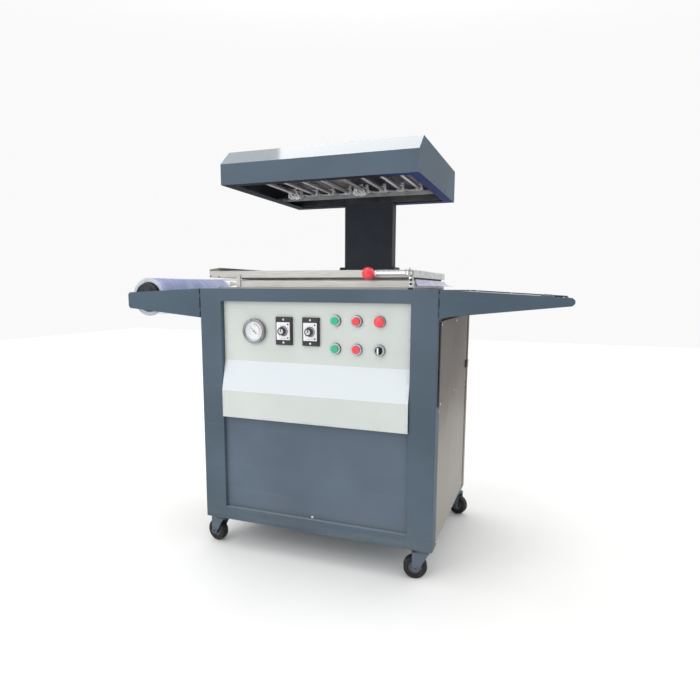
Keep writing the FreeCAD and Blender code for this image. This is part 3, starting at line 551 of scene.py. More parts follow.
def clear_film(name, colour, cover, shade_span=None):
    """Thin plastic film: bluish, glossy, with stretch ripples along its run, and painted shade, darker blue and
    less clear, over a given span.
    """
    r = Recipe(name)
    ripple = r.noise(9.0, 3.0, 0.5, r.stretched((0.35, 3.2, 1.0)))
    fine = r.noise(120.0, 2.0, 0.5)
    base = linear(*colour)
    deep = (base[0] * 0.84, base[1] * 0.88, base[2] * 0.97, 1.0)
    tone = r.mix(deep, base, ripple.ramp(0.3, 0.62))
    tone = r.mix(tone, linear(250, 251, 255), ripple.ramp(0.58, 0.72) * 0.7)
    if shade_span:
        # Painted shade: over the given span the film goes darker blue and less clear, as in the shade of the clamp
        # frame.
        x, y, _ = r.axes()
        near = (x - y * 0.25 + ripple * 0.05).ramp(*shade_span)
        tone = r.mix(tone, linear(120, 138, 204), near * 0.8)
        cover = near * 0.4 + cover
    return r.finish(base_color=tone, roughness=0.14 + fine * 0.12, alpha=cover,
                    coat_weight=0.6, coat_roughness=0.06,
                    normal=r.bump(ripple, 0.0012, 0.3))


def wound_film(name):
    """Film on the roll: glossy bluish wraps with the layers showing at the ends."""
    r = Recipe(name)
    x, _, z = r.axes()
    face_y = r.facing()[1]
    out_x = x - ROLL_AXIS.x
    out_z = z - ROLL_AXIS.z
    radius = (out_x * out_x + out_z * out_z) ** 0.5
    layers = (radius * 5200.0).sine() * 0.5 + (radius * 1370.0 + 0.7).sine() * 0.5
    end = face_y.absolute().ramp(0.5, 0.8)
    blotch = r.noise(60.0, 4.0, 0.65)
    ripple = r.noise(12.0, 3.0, 0.5, r.stretched((1.0, 4.0, 1.0)))
    side = r.mix(linear(196, 204, 240), linear(236, 240, 255), ripple.ramp(0.3, 0.7))
    ring = r.mix(linear(166, 171, 188), linear(222, 227, 242), layers.ramp(-0.6, 0.7))
    ring = r.mix(ring, linear(118, 118, 124), blotch.ramp(0.5, 0.75) * 0.3)
    ring = r.mix(linear(34, 34, 37), ring, radius.ramp(0.0455, 0.0470))
    height = layers * end * 0.05 + ripple * (1 - end)
    return r.finish(base_color=r.mix(side, ring, end), roughness=0.22 + end * 0.3,
                    coat_weight=0.5, coat_roughness=0.08, normal=r.bump(height, 0.0008, 0.3))


def printed(name, colour, rough=0.45):
    """Printed or painted marks, slightly uneven."""
    r = Recipe(name)
    ink = r.noise(800.0, 2.0, 0.6)
    base = linear(*colour)
    thin = tuple(part * 0.8 + 0.04 for part in base[:3]) + (1.0,)
    return r.finish(base_color=r.mix(base, thin, ink.ramp(0.5, 0.8) * 0.6),
                    roughness=rough + ink * 0.1)


def glass(name):
    """Clear window of the gauge."""
    r = Recipe(name)
    haze = r.noise(60.0, 3.0, 0.6)
    return r.finish(base_color=linear(240, 246, 250), roughness=0.04 + haze.ramp(0.5, 0.9) * 0.08,
                    alpha=0.16 + haze.ramp(0.5, 0.9) * 0.04, coat_weight=0.6,
                    coat_roughness=0.03)


def floor_paint(name):
    """Bare plain floor of the stage."""
    r = Recipe(name)
    cloud = r.noise(1.2, 3.0, 0.5)
    tone = r.mix(linear(236, 236, 234), linear(244, 244, 243), cloud.ramp(0.3, 0.7))
    return r.finish(base_color=tone, roughness=0.75)


MATERIALS = {}


def material(name):
    """A finish by name, made when it is first asked for."""
    if name not in MATERIALS:
        MATERIALS[name] = FINISHES[name](name)
    return MATERIALS[name]


PAINT_SLATE = (81, 95, 107)
PAINT_ARM = (75, 90, 102)
# The top colours of the side and the cover are painted shade: the paint darker and browner where the arm shades
# it.
SIDE_TOP_SHADE = (101, 89, 70)
SIDE_FOOT = (149, 145, 138)
COVER_TOP_SHADE = (119, 101, 84)
COVER_FOOT = (144, 133, 118)
# Painted shade and painted reflection under the hood: near black, and blue towards the right.
HOOD_UNDERSIDE_SHADE_AND_REFLECTION = ((24, 27, 36), (36, 52, 104))

FINISHES = {
    "slate frame paint": lambda n: powder_paint(n, PAINT_SLATE, FRAME_LOW, FRAME_HIGH),
    "slate sheet paint": lambda n: powder_paint(n, (92, 104, 117)),
    "slate hood paint": lambda n: powder_paint(n, PAINT_SLATE, HOOD_LOW, HOOD_HIGH, 0.5,
                                               below=HOOD_UNDERSIDE_SHADE_AND_REFLECTION),
    "slate arm paint": lambda n: powder_paint(n, PAINT_ARM),
    "side sheet paint": lambda n: side_sheet_paint(n, SIDE_TOP_SHADE, SIDE_FOOT),
    "side cover paint": lambda n: side_sheet_paint(n, COVER_TOP_SHADE, COVER_FOOT, COVER_LOW,
                                                   COVER_HIGH),
    "rear frame paint": lambda n: side_sheet_paint(n, SIDE_TOP_SHADE, SIDE_FOOT, REAR_LOW, REAR_HIGH),
    "panel enamel": lambda n: panel_enamel(n, (200, 206, 202)),
    "deck steel": lambda n: brushed_steel(n, (176, 178, 180)),
    "clamp steel": satin_bar_steel,
    "collar and column paint": column_paint,
    "bright reflector": bright_reflector,
    "zinc rail": galvanised,
    "white ceramic": ceramic,
    "heater quartz": quartz_tube,
    "bright chrome": chrome,
    "black plastic": lambda n: moulded_plastic(n, (34, 35, 38)),
    "collar chrome": lambda n: brushed_steel(n, (186, 188, 194), (1.0, 40.0, 1.0), 0.2, 0.95, 0.1),
    "dial case": lambda n: brushed_steel(n, (150, 150, 154), (1.0, 1.0, 1.0), 0.24, 0.9),
    "dial knob": dial_knob_plastic,
    "table steel": lambda n: brushed_steel(n, (128, 130, 134), rough=0.4),
    "hub zinc": lambda n: galvanised(n, (96, 98, 102)),
    "white dial": lambda n: printed(n, (236, 237, 240), 0.35),
    "label white": lambda n: printed(n, (232, 232, 234), 0.4),
    "black ink": lambda n: printed(n, (30, 30, 32)),
    "red ink": lambda n: printed(n, (198, 70, 84)),
    "blue ink": lambda n: printed(n, (128, 156, 178)),
    "gauge glass": glass,
    "green cap": lambda n: button_plastic(n, (0, 178, 124)),
    "red cap": lambda n: button_plastic(n, (236, 52, 56)),
    "ball knob red": lambda n: button_plastic(n, (226, 48, 66)),
    "red lens": lamp_lens,
    # The film's last stretch before the clamp gets painted shade.
    "film": lambda n: clear_film(n, (218, 228, 254), 0.46,
                                     shade_span=(WEB_HIGH.x - 0.075, WEB_HIGH.x + 0.02)),
    "clamped film": lambda n: clear_film(n, (184, 180, 226), 0.66),
    "wound film": wound_film,
    "gasket rubber": lambda n: rubber(n, (44, 44, 46)),
    "grey seal rubber": lambda n: rubber(n, (104, 101, 96)),
    "guide rubber": lambda n: rubber(n, (112, 110, 106), 900.0),
    "pale seal foam": lambda n: rubber(n, (164, 165, 162)),
    "wheel rubber": lambda n: rubber(n, (22, 22, 24)),
    "shaft steel": lambda n: brushed_steel(n, (188, 190, 194), (60.0, 1.0, 60.0), 0.24, 0.95),
    "zinc plate": lambda n: galvanised(n, (190, 188, 176)),
    "platen": cast_platen,
    "screw steel": lambda n: brushed_steel(n, (206, 208, 212), (1.0, 1.0, 1.0), 0.26, 0.95, 0.1),
    "dark screw": lambda n: brushed_steel(n, (70, 70, 72), (1.0, 1.0, 1.0), 0.34, 0.8, 0.1),
    "white screw": lambda n: brushed_steel(n, (232, 232, 230), (1.0, 1.0, 1.0), 0.4, 0.3, 0.1),
    "stage floor": floor_paint,
}

NODE_FINISHES = {
    "front_frame": "slate frame paint", "floor_pan": "slate sheet paint",
    "lower_front_panel": "slate sheet paint", "left_arms": "slate arm paint",
    "right_arms": "slate arm paint", "hood_shell": "slate hood paint",
    "left_side_panel": "side sheet paint", "right_side_panel": "side sheet paint",
    "rear_frame": "rear frame paint", "rear_panel": "side sheet paint",
    "side_cover": "side cover paint", "control_panel": "panel enamel",
    "top_deck": "deck steel", "outfeed_table": "table steel", "cross_rod": "shaft steel",
    "film_wound": "wound film", "roll_flanges": "black plastic", "roll_shaft": "shaft steel",
    "film_web": "film", "lower_film_frame": "clamp steel", "lower_gasket": "grey seal rubber",
    "film_sheet": "clamped film", "lift_carriage": "collar and column paint",
    "upper_film_frame": "clamp steel", "upper_gasket": "grey seal rubber",
    "film_guide": "guide rubber", "clamp_lever": "bright chrome", "lever_knob": "ball knob red",
    "column": "collar and column paint", "heater_tray": "bright reflector",
    "heater_rails": "zinc rail", "heater_clips": "white ceramic",
    "heater_tubes": "heater quartz", "vacuum_platen": "platen", "gauge": "dial case",
    "timer_bodies": "black plastic", "left_dial_knob": "dial knob",
    "right_dial_knob": "dial knob", "button_bezels": "collar chrome",
    "green_button_upper": "green cap", "red_button_upper": "red cap",
    "green_button_lower": "green cap", "red_button_lower": "red cap",
    "indicator_lamp": "red lens", "selector_knob": "black plastic",
    "caster_plates": "zinc plate",
}


# Modelling helpers. All of them work on one selected mesh, as by hand.

def nothing_selected():
    """Object mode, with nothing selected."""
    if bpy.context.mode != "OBJECT":
        bpy.ops.object.mode_set(mode="OBJECT")
    bpy.ops.object.select_all(action="DESELECT")


def only(piece):
    """Selects one object and makes it the active one."""
    nothing_selected()
    piece.select_set(True)
    bpy.context.view_layer.objects.active = piece
    return piece


def cylinder(name, radius, depth, sides=SCREW_SIDES):
    """A round blank that stands on the origin along +Z."""
    nothing_selected()
    bpy.ops.mesh.primitive_cylinder_add(vertices=sides, radius=radius, depth=depth,
                                        location=(0, 0, depth / 2))
    piece = bpy.context.object
    piece.name = name
    bpy.ops.object.transform_apply(location=True, rotation=True, scale=True)
    return piece


def block(name, x, y, z):
    """A rectangular blank that stands on the origin."""
    nothing_selected()
    bpy.ops.mesh.primitive_cube_add(size=1, location=(0, 0, z / 2), scale=(x, y, z))
    piece = bpy.context.object
    piece.name = name
    bpy.ops.object.transform_apply(location=True, rotation=True, scale=True)
    return piece


def select_faces(piece, test):
    """In edit mode, selects the faces whose middle and normal pass a test."""
    only(piece)
    bpy.ops.object.mode_set(mode="EDIT")
    bpy.ops.mesh.select_mode(type="FACE")
    bpy.ops.mesh.select_all(action="DESELECT")
    bpy.ops.object.mode_set(mode="OBJECT")
    count = 0
    for face in piece.data.polygons:
        face.select = bool(test(face.center, face.normal))
        count += face.select
    bpy.ops.object.mode_set(mode="EDIT")
    if not count:
        raise RuntimeError("no face was found on " + piece.name)


def select_edges(piece, test):
    """In edit mode, selects the edges whose two ends pass a test."""
    only(piece)
    bpy.ops.object.mode_set(mode="EDIT")
    bpy.ops.mesh.select_mode(type="EDGE")
    bpy.ops.mesh.select_all(action="DESELECT")
    bpy.ops.object.mode_set(mode="OBJECT")
    points = piece.data.vertices
    count = 0
    for edge in piece.data.edges:
        a, b = (points[index].co for index in edge.vertices)
        edge.select = bool(test(a, b))
        count += edge.select
    bpy.ops.object.mode_set(mode="EDIT")
    if not count:
        raise RuntimeError("no edge was found on " + piece.name)


def top_face(height):
    """Test for the face at the top of a blank."""
    return lambda centre, normal: normal.z > 0.9 and centre.z > height - 1e-5


def rim_edges(height):
    """Test for the edges round the top of a blank."""
    return lambda a, b: min(a.z, b.z) > height - 1e-5


def extrude_up(distance):
    bpy.ops.mesh.extrude_region_move(TRANSFORM_OT_translate={"value": (0, 0, distance)})


def stepped(inset, rise):
    """Insets the selected face and raises or sinks it."""
    bpy.ops.mesh.inset(thickness=inset)
    extrude_up(rise)


def step_top(piece, height, inset, rise):
    """Insets the top of a blank and raises or sinks it."""
    select_faces(piece, top_face(height))
    stepped(inset, rise)


def round_rim(piece, height, width, segments):
    """Rounds the edge at the top of a blank."""
    select_edges(piece, rim_edges(height))
    bpy.ops.mesh.bevel(offset=width, segments=segments, affect="EDGES")


def done():
    bpy.ops.object.mode_set(mode="OBJECT")


def turned_to(direction, spin=0.0):
    """A turn that takes +Z to a direction, after a spin about +Z."""
    to = Vector(direction).to_track_quat("Z", "Y").to_matrix().to_4x4()
    return to @ Matrix.Rotation(spin, 4, "Z")


def placed(piece, location, direction=UP, spin=0.0):
    """Moves a finished blank to its place, with the place kept in its mesh."""
    piece.data.transform(Matrix.Translation(location) @ turned_to(direction, spin))
    return piece


def copy_of(piece, name, location, direction=UP, spin=0.0):
    """A copy with its own mesh, put in place."""
    nothing_selected()
    copy = piece.copy()
    copy.data = piece.data.copy()
    copy.name = name
    bpy.context.collection.objects.link(copy)
    return placed(copy, location, direction, spin)


def joined(pieces, name):
    """Several meshes as one object."""
    nothing_selected()
    for piece in pieces:
        piece.select_set(True)
    bpy.context.view_layer.objects.active = pieces[0]
    if len(pieces) > 1:
        bpy.ops.object.join()
    whole = bpy.context.object
    whole.name = name
    return whole


def removed(piece):
    """Deletes a pattern piece after its copies are made."""
    mesh = piece.data
    bpy.data.objects.remove(piece)
    bpy.data.meshes.remove(mesh)


def recalculated(piece):
    """Merges doubles and turns the faces outwards."""
    only(piece)
    bpy.ops.object.mode_set(mode="EDIT")
    bpy.ops.mesh.select_all(action="SELECT")
    bpy.ops.mesh.remove_doubles(threshold=1e-6)
    bpy.ops.mesh.normals_make_consistent(inside=False)
    done()
    return piece


def applied(piece, kind, **settings):
    """Adds a modifier and applies it."""
    only(piece)
    modifier = piece.modifiers.new(kind.lower(), kind)
    for key, value in settings.items():
        setattr(modifier, key, value)
    bpy.ops.object.modifier_apply(modifier=modifier.name)
    return piece


def finished(piece, finish, body="root"):
    """Smooths, paints and mounts a piece on its body."""
    only(piece)
    bpy.ops.object.transform_apply(location=True, rotation=True, scale=True)
    bpy.ops.object.shade_smooth_by_angle(angle=SMOOTH_ANGLE)
    piece.data.materials.clear()
    piece.data.materials.append(material(finish))
    if body:
        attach(piece, body)
    return piece


# Patterns for screws and bolts

def cross_screw(radius, height):
    """Domed screw head with a cross recess."""
    piece = cylinder("screw pattern", radius, height)
    round_rim(piece, height, height * 0.55, 3)
    step_top(piece, height, radius * 0.12, height * 0.08)
    done()
    cutters = []
    for spin in (0.0, math.pi / 2):
        cutter = block("cross cutter", radius * 1.05, radius * 0.22, height)
        cutter.data.transform(Matrix.Translation((0, 0, height * 0.6))
                              @ Matrix.Rotation(spin, 4, "Z"))
        cutters.append(cutter)
    for cutter in cutters:
        applied(piece, "BOOLEAN", operation="DIFFERENCE", object=cutter, solver="EXACT")
        removed(cutter)
    return piece


def slot_screw(radius, height):
    """Low round head with one slot."""
    piece = cylinder("slot screw pattern", radius, height, SCREW_SIDES)
    round_rim(piece, height, height * 0.4, 2)
    done()
    cutter = block("slot cutter", radius * 2.4, radius * 0.26, height)
    cutter.data.transform(Matrix.Translation((0, 0, height * 0.55)))
    applied(piece, "BOOLEAN", operation="DIFFERENCE", object=cutter, solver="EXACT")
    removed(cutter)
    return piece


def hex_bolt(radius, height):
    """Hexagon head on a washer, with its top edge turned."""
    head = cylinder("hex head", radius, height, 6)
    head.data.transform(Matrix.Translation((0, 0, height * 0.22)))
    step_top(head, height * 1.22, radius * 0.14, height * 0.06)
    stepped(radius * 0.3, -height * 0.12)
    done()
    washer = cylinder("washer", radius * 1.32, height * 0.22, SCREW_SIDES)
    round_rim(washer, height * 0.22, height * 0.07, 2)
    done()
    return joined([head, washer], "bolt pattern")


def rivet(radius, height):
    """Domed rivet with a small dimple."""
    piece = cylinder("rivet pattern", radius, height, 16)
    round_rim(piece, height, height * 0.7, 3)
    step_top(piece, height, radius * 0.1, -height * 0.15)
    done()
    return piece


def row_of(pattern, name, places, direction, finish, body="root", spins=None):
    """Copies of a pattern at several places, as one finished piece."""
    copies = []
    for index, place in enumerate(places):
        spin = spins[index] if spins else 0.9 * index
        copies.append(copy_of(pattern, name + "_" + str(index), place, direction, spin))
    return finished(joined(copies, name), finish, body)


# Settings that a user would change

class StageSettings(bpy.types.PropertyGroup):
    """Light and floor of the stage."""
    key_power: bpy.props.FloatProperty(name="Key light", description="Power of the large light",
                                       default=36.0, unit="POWER")
    card_power: bpy.props.FloatProperty(name="Card", description="Power of the overhead card",
                                        default=34.0, unit="POWER")
    sky: bpy.props.FloatProperty(name="Sky", description="Strength of the light from the front",
                                 default=0.55)
    floor_size: bpy.props.FloatProperty(name="Floor", description="Side of the floor",
                                        default=14.0, unit="LENGTH")


class FixingSettings(bpy.types.PropertyGroup):
    """Sizes of the screws, bolts and rivets."""
    screw: bpy.props.FloatProperty(name="Screw", description="Radius of a panel screw's head",
                                   default=3.6 * MM, unit="LENGTH")
    small_screw: bpy.props.FloatProperty(name="Small screw", description="Radius of a small head",
                                         default=2.3 * MM, unit="LENGTH")
    bolt: bpy.props.FloatProperty(name="Bolt", description="Radius of a bolt's head",
                                  default=6.0 * MM, unit="LENGTH")
    head: bpy.props.FloatProperty(name="Head", description="Height of a panel screw's head",
                                  default=1.7 * MM, unit="LENGTH")


class FilmSettings(bpy.types.PropertyGroup):
    """Sizes of the film."""
    thickness: bpy.props.FloatProperty(name="Film", description="Thickness of the drawn film",
                                       default=0.5 * MM, unit="LENGTH")
    sag: bpy.props.FloatProperty(name="Sag", description="How far the film sags in the clamp",
                                 default=1.6 * MM, unit="LENGTH")
    ripple: bpy.props.FloatProperty(name="Ripple", description="Height of the film's ripples",
                                    default=1.3 * MM, unit="LENGTH")


# Operators, one for each piece or group of like pieces

class PACKER_OT_finishes(bpy.types.Operator):
    """Give every CAD node its finish."""
    bl_idname = "packer.finishes"
    bl_label = "Finishes of the machine"

    def execute(self, context):
        for name, node in NODES.items():
            finish = NODE_FINISHES.get(name)
            if finish is None and name.startswith("caster_fork"):
                finish = "slate sheet paint"
            if finish is None and name.startswith("caster_wheel"):
                finish = "wheel rubber"
            if finish is None:
                raise RuntimeError("no finish for " + name)
            node.data.materials.clear()
            node.data.materials.append(material(finish))
        return {"FINISHED"}


class PACKER_OT_gauge(bpy.types.Operator):
    """Dial plate, scale, pointer, glass and screws of the vacuum gauge."""
    bl_idname = "packer.gauge"
    bl_label = "Vacuum gauge"

    dial_radius = 28.4 * MM
    scale_radius = 23.0 * MM
    sweep = math.radians(270)
    marks = 41

    def execute(self, context):
        low, high = corners("gauge")
        centre = (low + high) / 2
        floor = low.y + 5.0 * MM
        self.plate(Vector((centre.x, floor, centre.z)))
        self.scale(Vector((centre.x, floor - 0.9 * MM, centre.z)))
        self.band(Vector((centre.x, floor - 0.9 * MM, centre.z)))
        self.pointer(Vector((centre.x, floor - 1.9 * MM, centre.z)))
        self.window(Vector((centre.x, low.y + 1.1 * MM, centre.z)))
        self.rim(Vector((centre.x, low.y + 0.2 * MM, centre.z)))
        pattern = cross_screw(2.0 * MM, 2.2 * MM)
        radius = (high.x - low.x) / 2 - 3.4 * MM
        places = []
        for angle in (math.radians(100), math.radians(318)):
            offset = Vector((math.cos(angle), 0, math.sin(angle))) * radius
            places.append(Vector((centre.x, low.y + 0.3 * MM, centre.z)) + offset)
        row_of(pattern, "gauge_screws", places, FRONT, "dark screw")
        removed(pattern)
        return {"FINISHED"}

    def plate(self, place):
        plate = cylinder("gauge_dial_plate", self.dial_radius, 0.9 * MM, 64)
        step_top(plate, 0.9 * MM, 1.6 * MM, -0.25 * MM)
        stepped(9.0 * MM, 0.15 * MM)
        done()
        finished(placed(plate, place, FRONT), "white dial")

    def scale(self, place):
        """Long and short marks round three quarters of the dial."""
        long_mark = block("long mark", 3.8 * MM, 0.62 * MM, 0.3 * MM)
        short_mark = block("short mark", 2.0 * MM, 0.36 * MM, 0.3 * MM)
        copies = []
        for index in range(self.marks):
            angle = math.radians(225) - self.sweep * index / (self.marks - 1)
            long_one = index % 5 == 0
            reach = self.scale_radius - (1.9 * MM if long_one else 1.0 * MM)
            mark = copy_of(long_mark if long_one else short_mark, "mark", Vector((0, 0, 0)))
            mark.data.transform(Matrix.Rotation(angle, 4, "Z")
                                @ Matrix.Translation((reach, 0, 0)))
            mark.data.transform(turned_to(FRONT, 0.0))
            mark.data.transform(Matrix.Translation(place))
            copies.append(mark)
        removed(long_mark)
        removed(short_mark)
        whole = joined(copies, "gauge_scale")
        applied(whole, "BEVEL", width=0.05 * MM, segments=1, limit_method="ANGLE")
        finished(whole, "black ink")

    def band(self, place):
        """Red and blue arcs of the scale, swept from a small section."""
        for name, radius, width, start, turn, ink in (
                ("gauge_red_band", 18.2 * MM, 2.0 * MM, -40, 130, "red ink"),
                ("gauge_blue_band", 15.0 * MM, 1.4 * MM, 120, 110, "blue ink")):
            strip = block(name, width, 0.2 * MM, 0.22 * MM)
            strip.data.transform(Matrix.Translation((radius, 0, 0)))
            strip.data.transform(Matrix.Rotation(math.radians(start), 4, "Z"))
            direction = Vector((-math.sin(math.radians(start)), math.cos(math.radians(start)), 0))
            select_faces(strip, lambda centre, normal: normal.dot(direction) > 0.9)
            bpy.ops.mesh.spin(steps=28, angle=-math.radians(turn), center=(0, 0, 0),
                              axis=(0, 0, 1))
            done()
            recalculated(strip)
            placed(strip, place, FRONT)
            finished(strip, ink)

    def pointer(self, place):
        """Tapered needle with its tail, and the turned boss that holds it."""
        needle = block("needle", 32.0 * MM, 1.7 * MM, 0.5 * MM)
        needle.data.transform(Matrix.Translation((5.0 * MM, 0, 0)))
        select_faces(needle, lambda centre, normal: normal.x > 0.9)
        bpy.ops.transform.resize(value=(1, 0.22, 1))
        done()
        select_faces(needle, lambda centre, normal: normal.x < -0.9)
        bpy.ops.transform.resize(value=(1, 1.5, 1))
        done()
        applied(needle, "BEVEL", width=0.12 * MM, segments=1, limit_method="ANGLE")
        boss = cylinder("boss", 2.6 * MM, 1.3 * MM, 24)
        round_rim(boss, 1.3 * MM, 0.5 * MM, 2)
        step_top(boss, 1.3 * MM, 0.9 * MM, -0.2 * MM)
        done()
        whole = joined([needle, boss], "gauge_pointer")
        placed(whole, place, FRONT, math.radians(135))
        finished(whole, "black ink")

    def rim(self, place):
        """Rolled bright rim round the dial, with a groove along its crown."""
        nothing_selected()
        bpy.ops.mesh.primitive_torus_add(major_radius=31.2 * MM, minor_radius=3.6 * MM,
                                         major_segments=72, minor_segments=12)
        rim = bpy.context.object
        rim.name = "gauge_rim"
        only(rim)
        bpy.ops.object.mode_set(mode="EDIT")
        bpy.ops.mesh.select_all(action="SELECT")
        bpy.ops.transform.resize(value=(1, 1, 0.5))
        done()
        select_faces(rim, lambda centre, normal: normal.z > 0.85)
        stepped(0.5 * MM, -0.3 * MM)
        done()
        recalculated(rim)
        finished(placed(rim, place, FRONT), "dial case")

    def window(self, place):
        glass_disc = cylinder("gauge_window", self.dial_radius, 0.8 * MM, 64)
        round_rim(glass_disc, 0.8 * MM, 0.3 * MM, 2)
        select_faces(glass_disc, top_face(0.8 * MM))
        bpy.ops.mesh.inset(thickness=9.0 * MM)
        bpy.ops.transform.translate(value=(0, 0, 0.25 * MM))
        done()
        finished(placed(glass_disc, place, FRONT), "gauge glass")


class PACKER_OT_timer_plates(bpy.types.Operator):
    """White scale plates, screws, knob caps and marks of the two dial housings."""
    bl_idname = "packer.timer_plates"
    bl_label = "Timer plates and knob caps"

    plate_width = 40 * MM
    plate_height = 49 * MM
    plate_depth = 2.15 * MM
    scale_marks = 11

    def execute(self, context):
        front = TIMER_LOW.y + 2.0 * MM
        plate = self.plate_pattern()
        mark = block("scale mark", 3.0 * MM, 0.7 * MM, 0.25 * MM)
        window = self.window_pattern()
        screw = cross_screw(2.9 * MM, 1.3 * MM)
        for name, dial in zip(("left", "right"), DIALS):
            centre = Vector((dial.x, front, (TIMER_LOW.z + TIMER_HIGH.z) / 2))
            finished(copy_of(plate, name + "_timer_plate", centre, FRONT), "label white")
            self.marks(name, mark, centre + FRONT * (self.plate_depth - 0.1 * MM))
            windows = []
            for up in (-1, 1):
                place = centre + Vector((14.5 * MM, 0, up * 19.0 * MM))
                windows.append(copy_of(window, "window", place + FRONT * self.plate_depth, FRONT))
            finished(joined(windows, name + "_timer_windows"), "black ink")
            places = [centre + Vector((0, -0.05 * MM, up * 32.0 * MM)) for up in (-1, 1)]
            row_of(screw, name + "_timer_screws", places, FRONT, "white screw")
            self.knob(name)
        for pattern in (plate, mark, window, screw):
            removed(pattern)
        return {"FINISHED"}

    def plate_pattern(self):
        plate = block("timer plate pattern", self.plate_width, self.plate_height, self.plate_depth)
        select_edges(plate, lambda a, b: abs(a.z - b.z) > MM)
        bpy.ops.mesh.bevel(offset=1.6 * MM, segments=3, affect="EDGES")
        step_top(plate, self.plate_depth, 0.8 * MM, -0.2 * MM)
        done()
        return plate

    def window_pattern(self):
        window = block("window pattern", 4.6 * MM, 3.6 * MM, 0.5 * MM)
        step_top(window, 0.5 * MM, 0.6 * MM, -0.25 * MM)
        done()
        return window

    def marks(self, name, pattern, centre):
        """Scale marks round the knob and a row of them below it."""
        copies = []
        for index in range(self.scale_marks):
            angle = math.radians(225 - 270 * index / (self.scale_marks - 1))
            mark = copy_of(pattern, "mark", Vector((0, 0, 0)))
            mark.data.transform(Matrix.Rotation(angle, 4, "Z")
                                @ Matrix.Translation((15.6 * MM, 0, 0)))
            mark.data.transform(turned_to(FRONT))
            mark.data.transform(Matrix.Translation(centre))
            copies.append(mark)
        for index in range(5):
            place = centre + Vector(((index - 2) * 4.4 * MM, 0, -20.6 * MM))
            copies.append(copy_of(pattern, "mark", place, FRONT, math.radians(90)))
        whole = joined(copies, name + "_timer_scale")
        applied(whole, "BEVEL", width=0.05 * MM, segments=1, limit_method="ANGLE")
        finished(whole, "black ink")

    def knob(self, name):
        """Bright cap let into the knob's face, and the ribs round its side."""
        node = name + "_dial_knob"
        low, high = corners(node)
        centre = Vector(((low.x + high.x) / 2, low.y + 1.0 * MM, (low.z + high.z) / 2))
        cap = cylinder(name + "_knob_cap", 7.4 * MM, 0.7 * MM, 32)
        round_rim(cap, 0.7 * MM, 0.25 * MM, 2)
        step_top(cap, 0.7 * MM, 1.2 * MM, -0.2 * MM)
        done()
        placed(cap, centre, FRONT)
        finished(cap, "screw steel", body_of_node(node))
        rib = block("rib", 1.0 * MM, 0.9 * MM, 8.6 * MM)
        select_edges(rib, lambda a, b: abs(a.z - b.z) > MM)
        bpy.ops.mesh.bevel(offset=0.25 * MM, segments=1, affect="EDGES")
        select_faces(rib, top_face(8.6 * MM))
        bpy.ops.transform.resize(value=(0.7, 0.7, 1))
        done()
        copies = []
        for index in range(24):
            angle = math.tau * index / 24 + math.pi / 24
            offset = Vector((math.cos(angle), 0, math.sin(angle))) * 10.4 * MM
            base = Vector((centre.x, high.y - 4.4 * MM, centre.z))
            copies.append(copy_of(rib, "rib", base + offset, FRONT, angle))
        removed(rib)
        finished(joined(copies, name + "_knob_ribs"), "black plastic", body_of_node(node))


def body_of_node(name):
    """The body that a CAD node rides on."""
    bodies = frame["record"]["behaviour"]["bodies"]
    for body, nodes in bodies.items():
        if name in nodes:
            return body
    raise RuntimeError("no body holds " + name)


class PACKER_OT_selector_mark(bpy.types.Operator):
    """White pointer bar on the selector."""
    bl_idname = "packer.selector_mark"
    bl_label = "Selector mark"

    def execute(self, context):
        low, high = corners("selector_knob")
        bar = block("selector_pointer", 4.2 * MM, 17.0 * MM, 0.7 * MM)
        step_top(bar, 0.7 * MM, 0.7 * MM, 0.2 * MM)
        done()
        place = Vector(((low.x + high.x) / 2, low.y + 0.3 * MM, (low.z + high.z) / 2))
        placed(bar, place, FRONT)
        finished(bar, "label white", body_of_node("selector_knob"))
        return {"FINISHED"}


class PACKER_OT_collar_rings(bpy.types.Operator):
    """Dark sealing rings behind the six chrome collars."""
    bl_idname = "packer.collar_rings"
    bl_label = "Button collar rings"

    def execute(self, context):
        low, high = corners("button_bezels")
        radius = 15 * MM
        xs = [middle("green_button_upper").x, middle("red_button_upper").x, high.x - radius]
        zs = [low.z + radius, high.z - radius]
        ring = cylinder("ring pattern", radius + 0.7 * MM, 1.4 * MM, 40)
        round_rim(ring, 1.4 * MM, 0.5 * MM, 2)
        step_top(ring, 1.4 * MM, 1.5 * MM, -0.4 * MM)
        done()
        places = [Vector((x, high.y, z)) for x in xs for z in zs]
        row_of(ring, "collar_rings", places, FRONT, "gasket rubber")
        removed(ring)
        return {"FINISHED"}


class PACKER_OT_lamp(bpy.types.Operator):
    """Red lens of the lamp, which covers its whole collar."""
    bl_idname = "packer.lamp"
    bl_label = "Lamp lens"

    def execute(self, context):
        low, high = corners("indicator_lamp")
        front = corners("button_bezels")[0].y
        rim = cylinder("rim", 14.4 * MM, 1.6 * MM, 40)
        round_rim(rim, 1.6 * MM, 0.6 * MM, 2)
        done()
        dome = cylinder("dome", 12.9 * MM, 3.4 * MM, 40)
        select_faces(dome, top_face(3.4 * MM))
        for width, rise in ((0.94, 1.6), (0.86, 1.3), (0.7, 0.9), (0.5, 0.4)):
            extrude_up(rise * MM)
            bpy.ops.transform.resize(value=(width, width, 1))
        done()
        lens = joined([rim, dome], "lamp_lens")
        placed(lens, Vector(((low.x + high.x) / 2, front + 0.1 * MM, (low.z + high.z) / 2)), FRONT)
        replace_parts(finished(lens, "red lens"), "indicator_lamp")
        return {"FINISHED"}


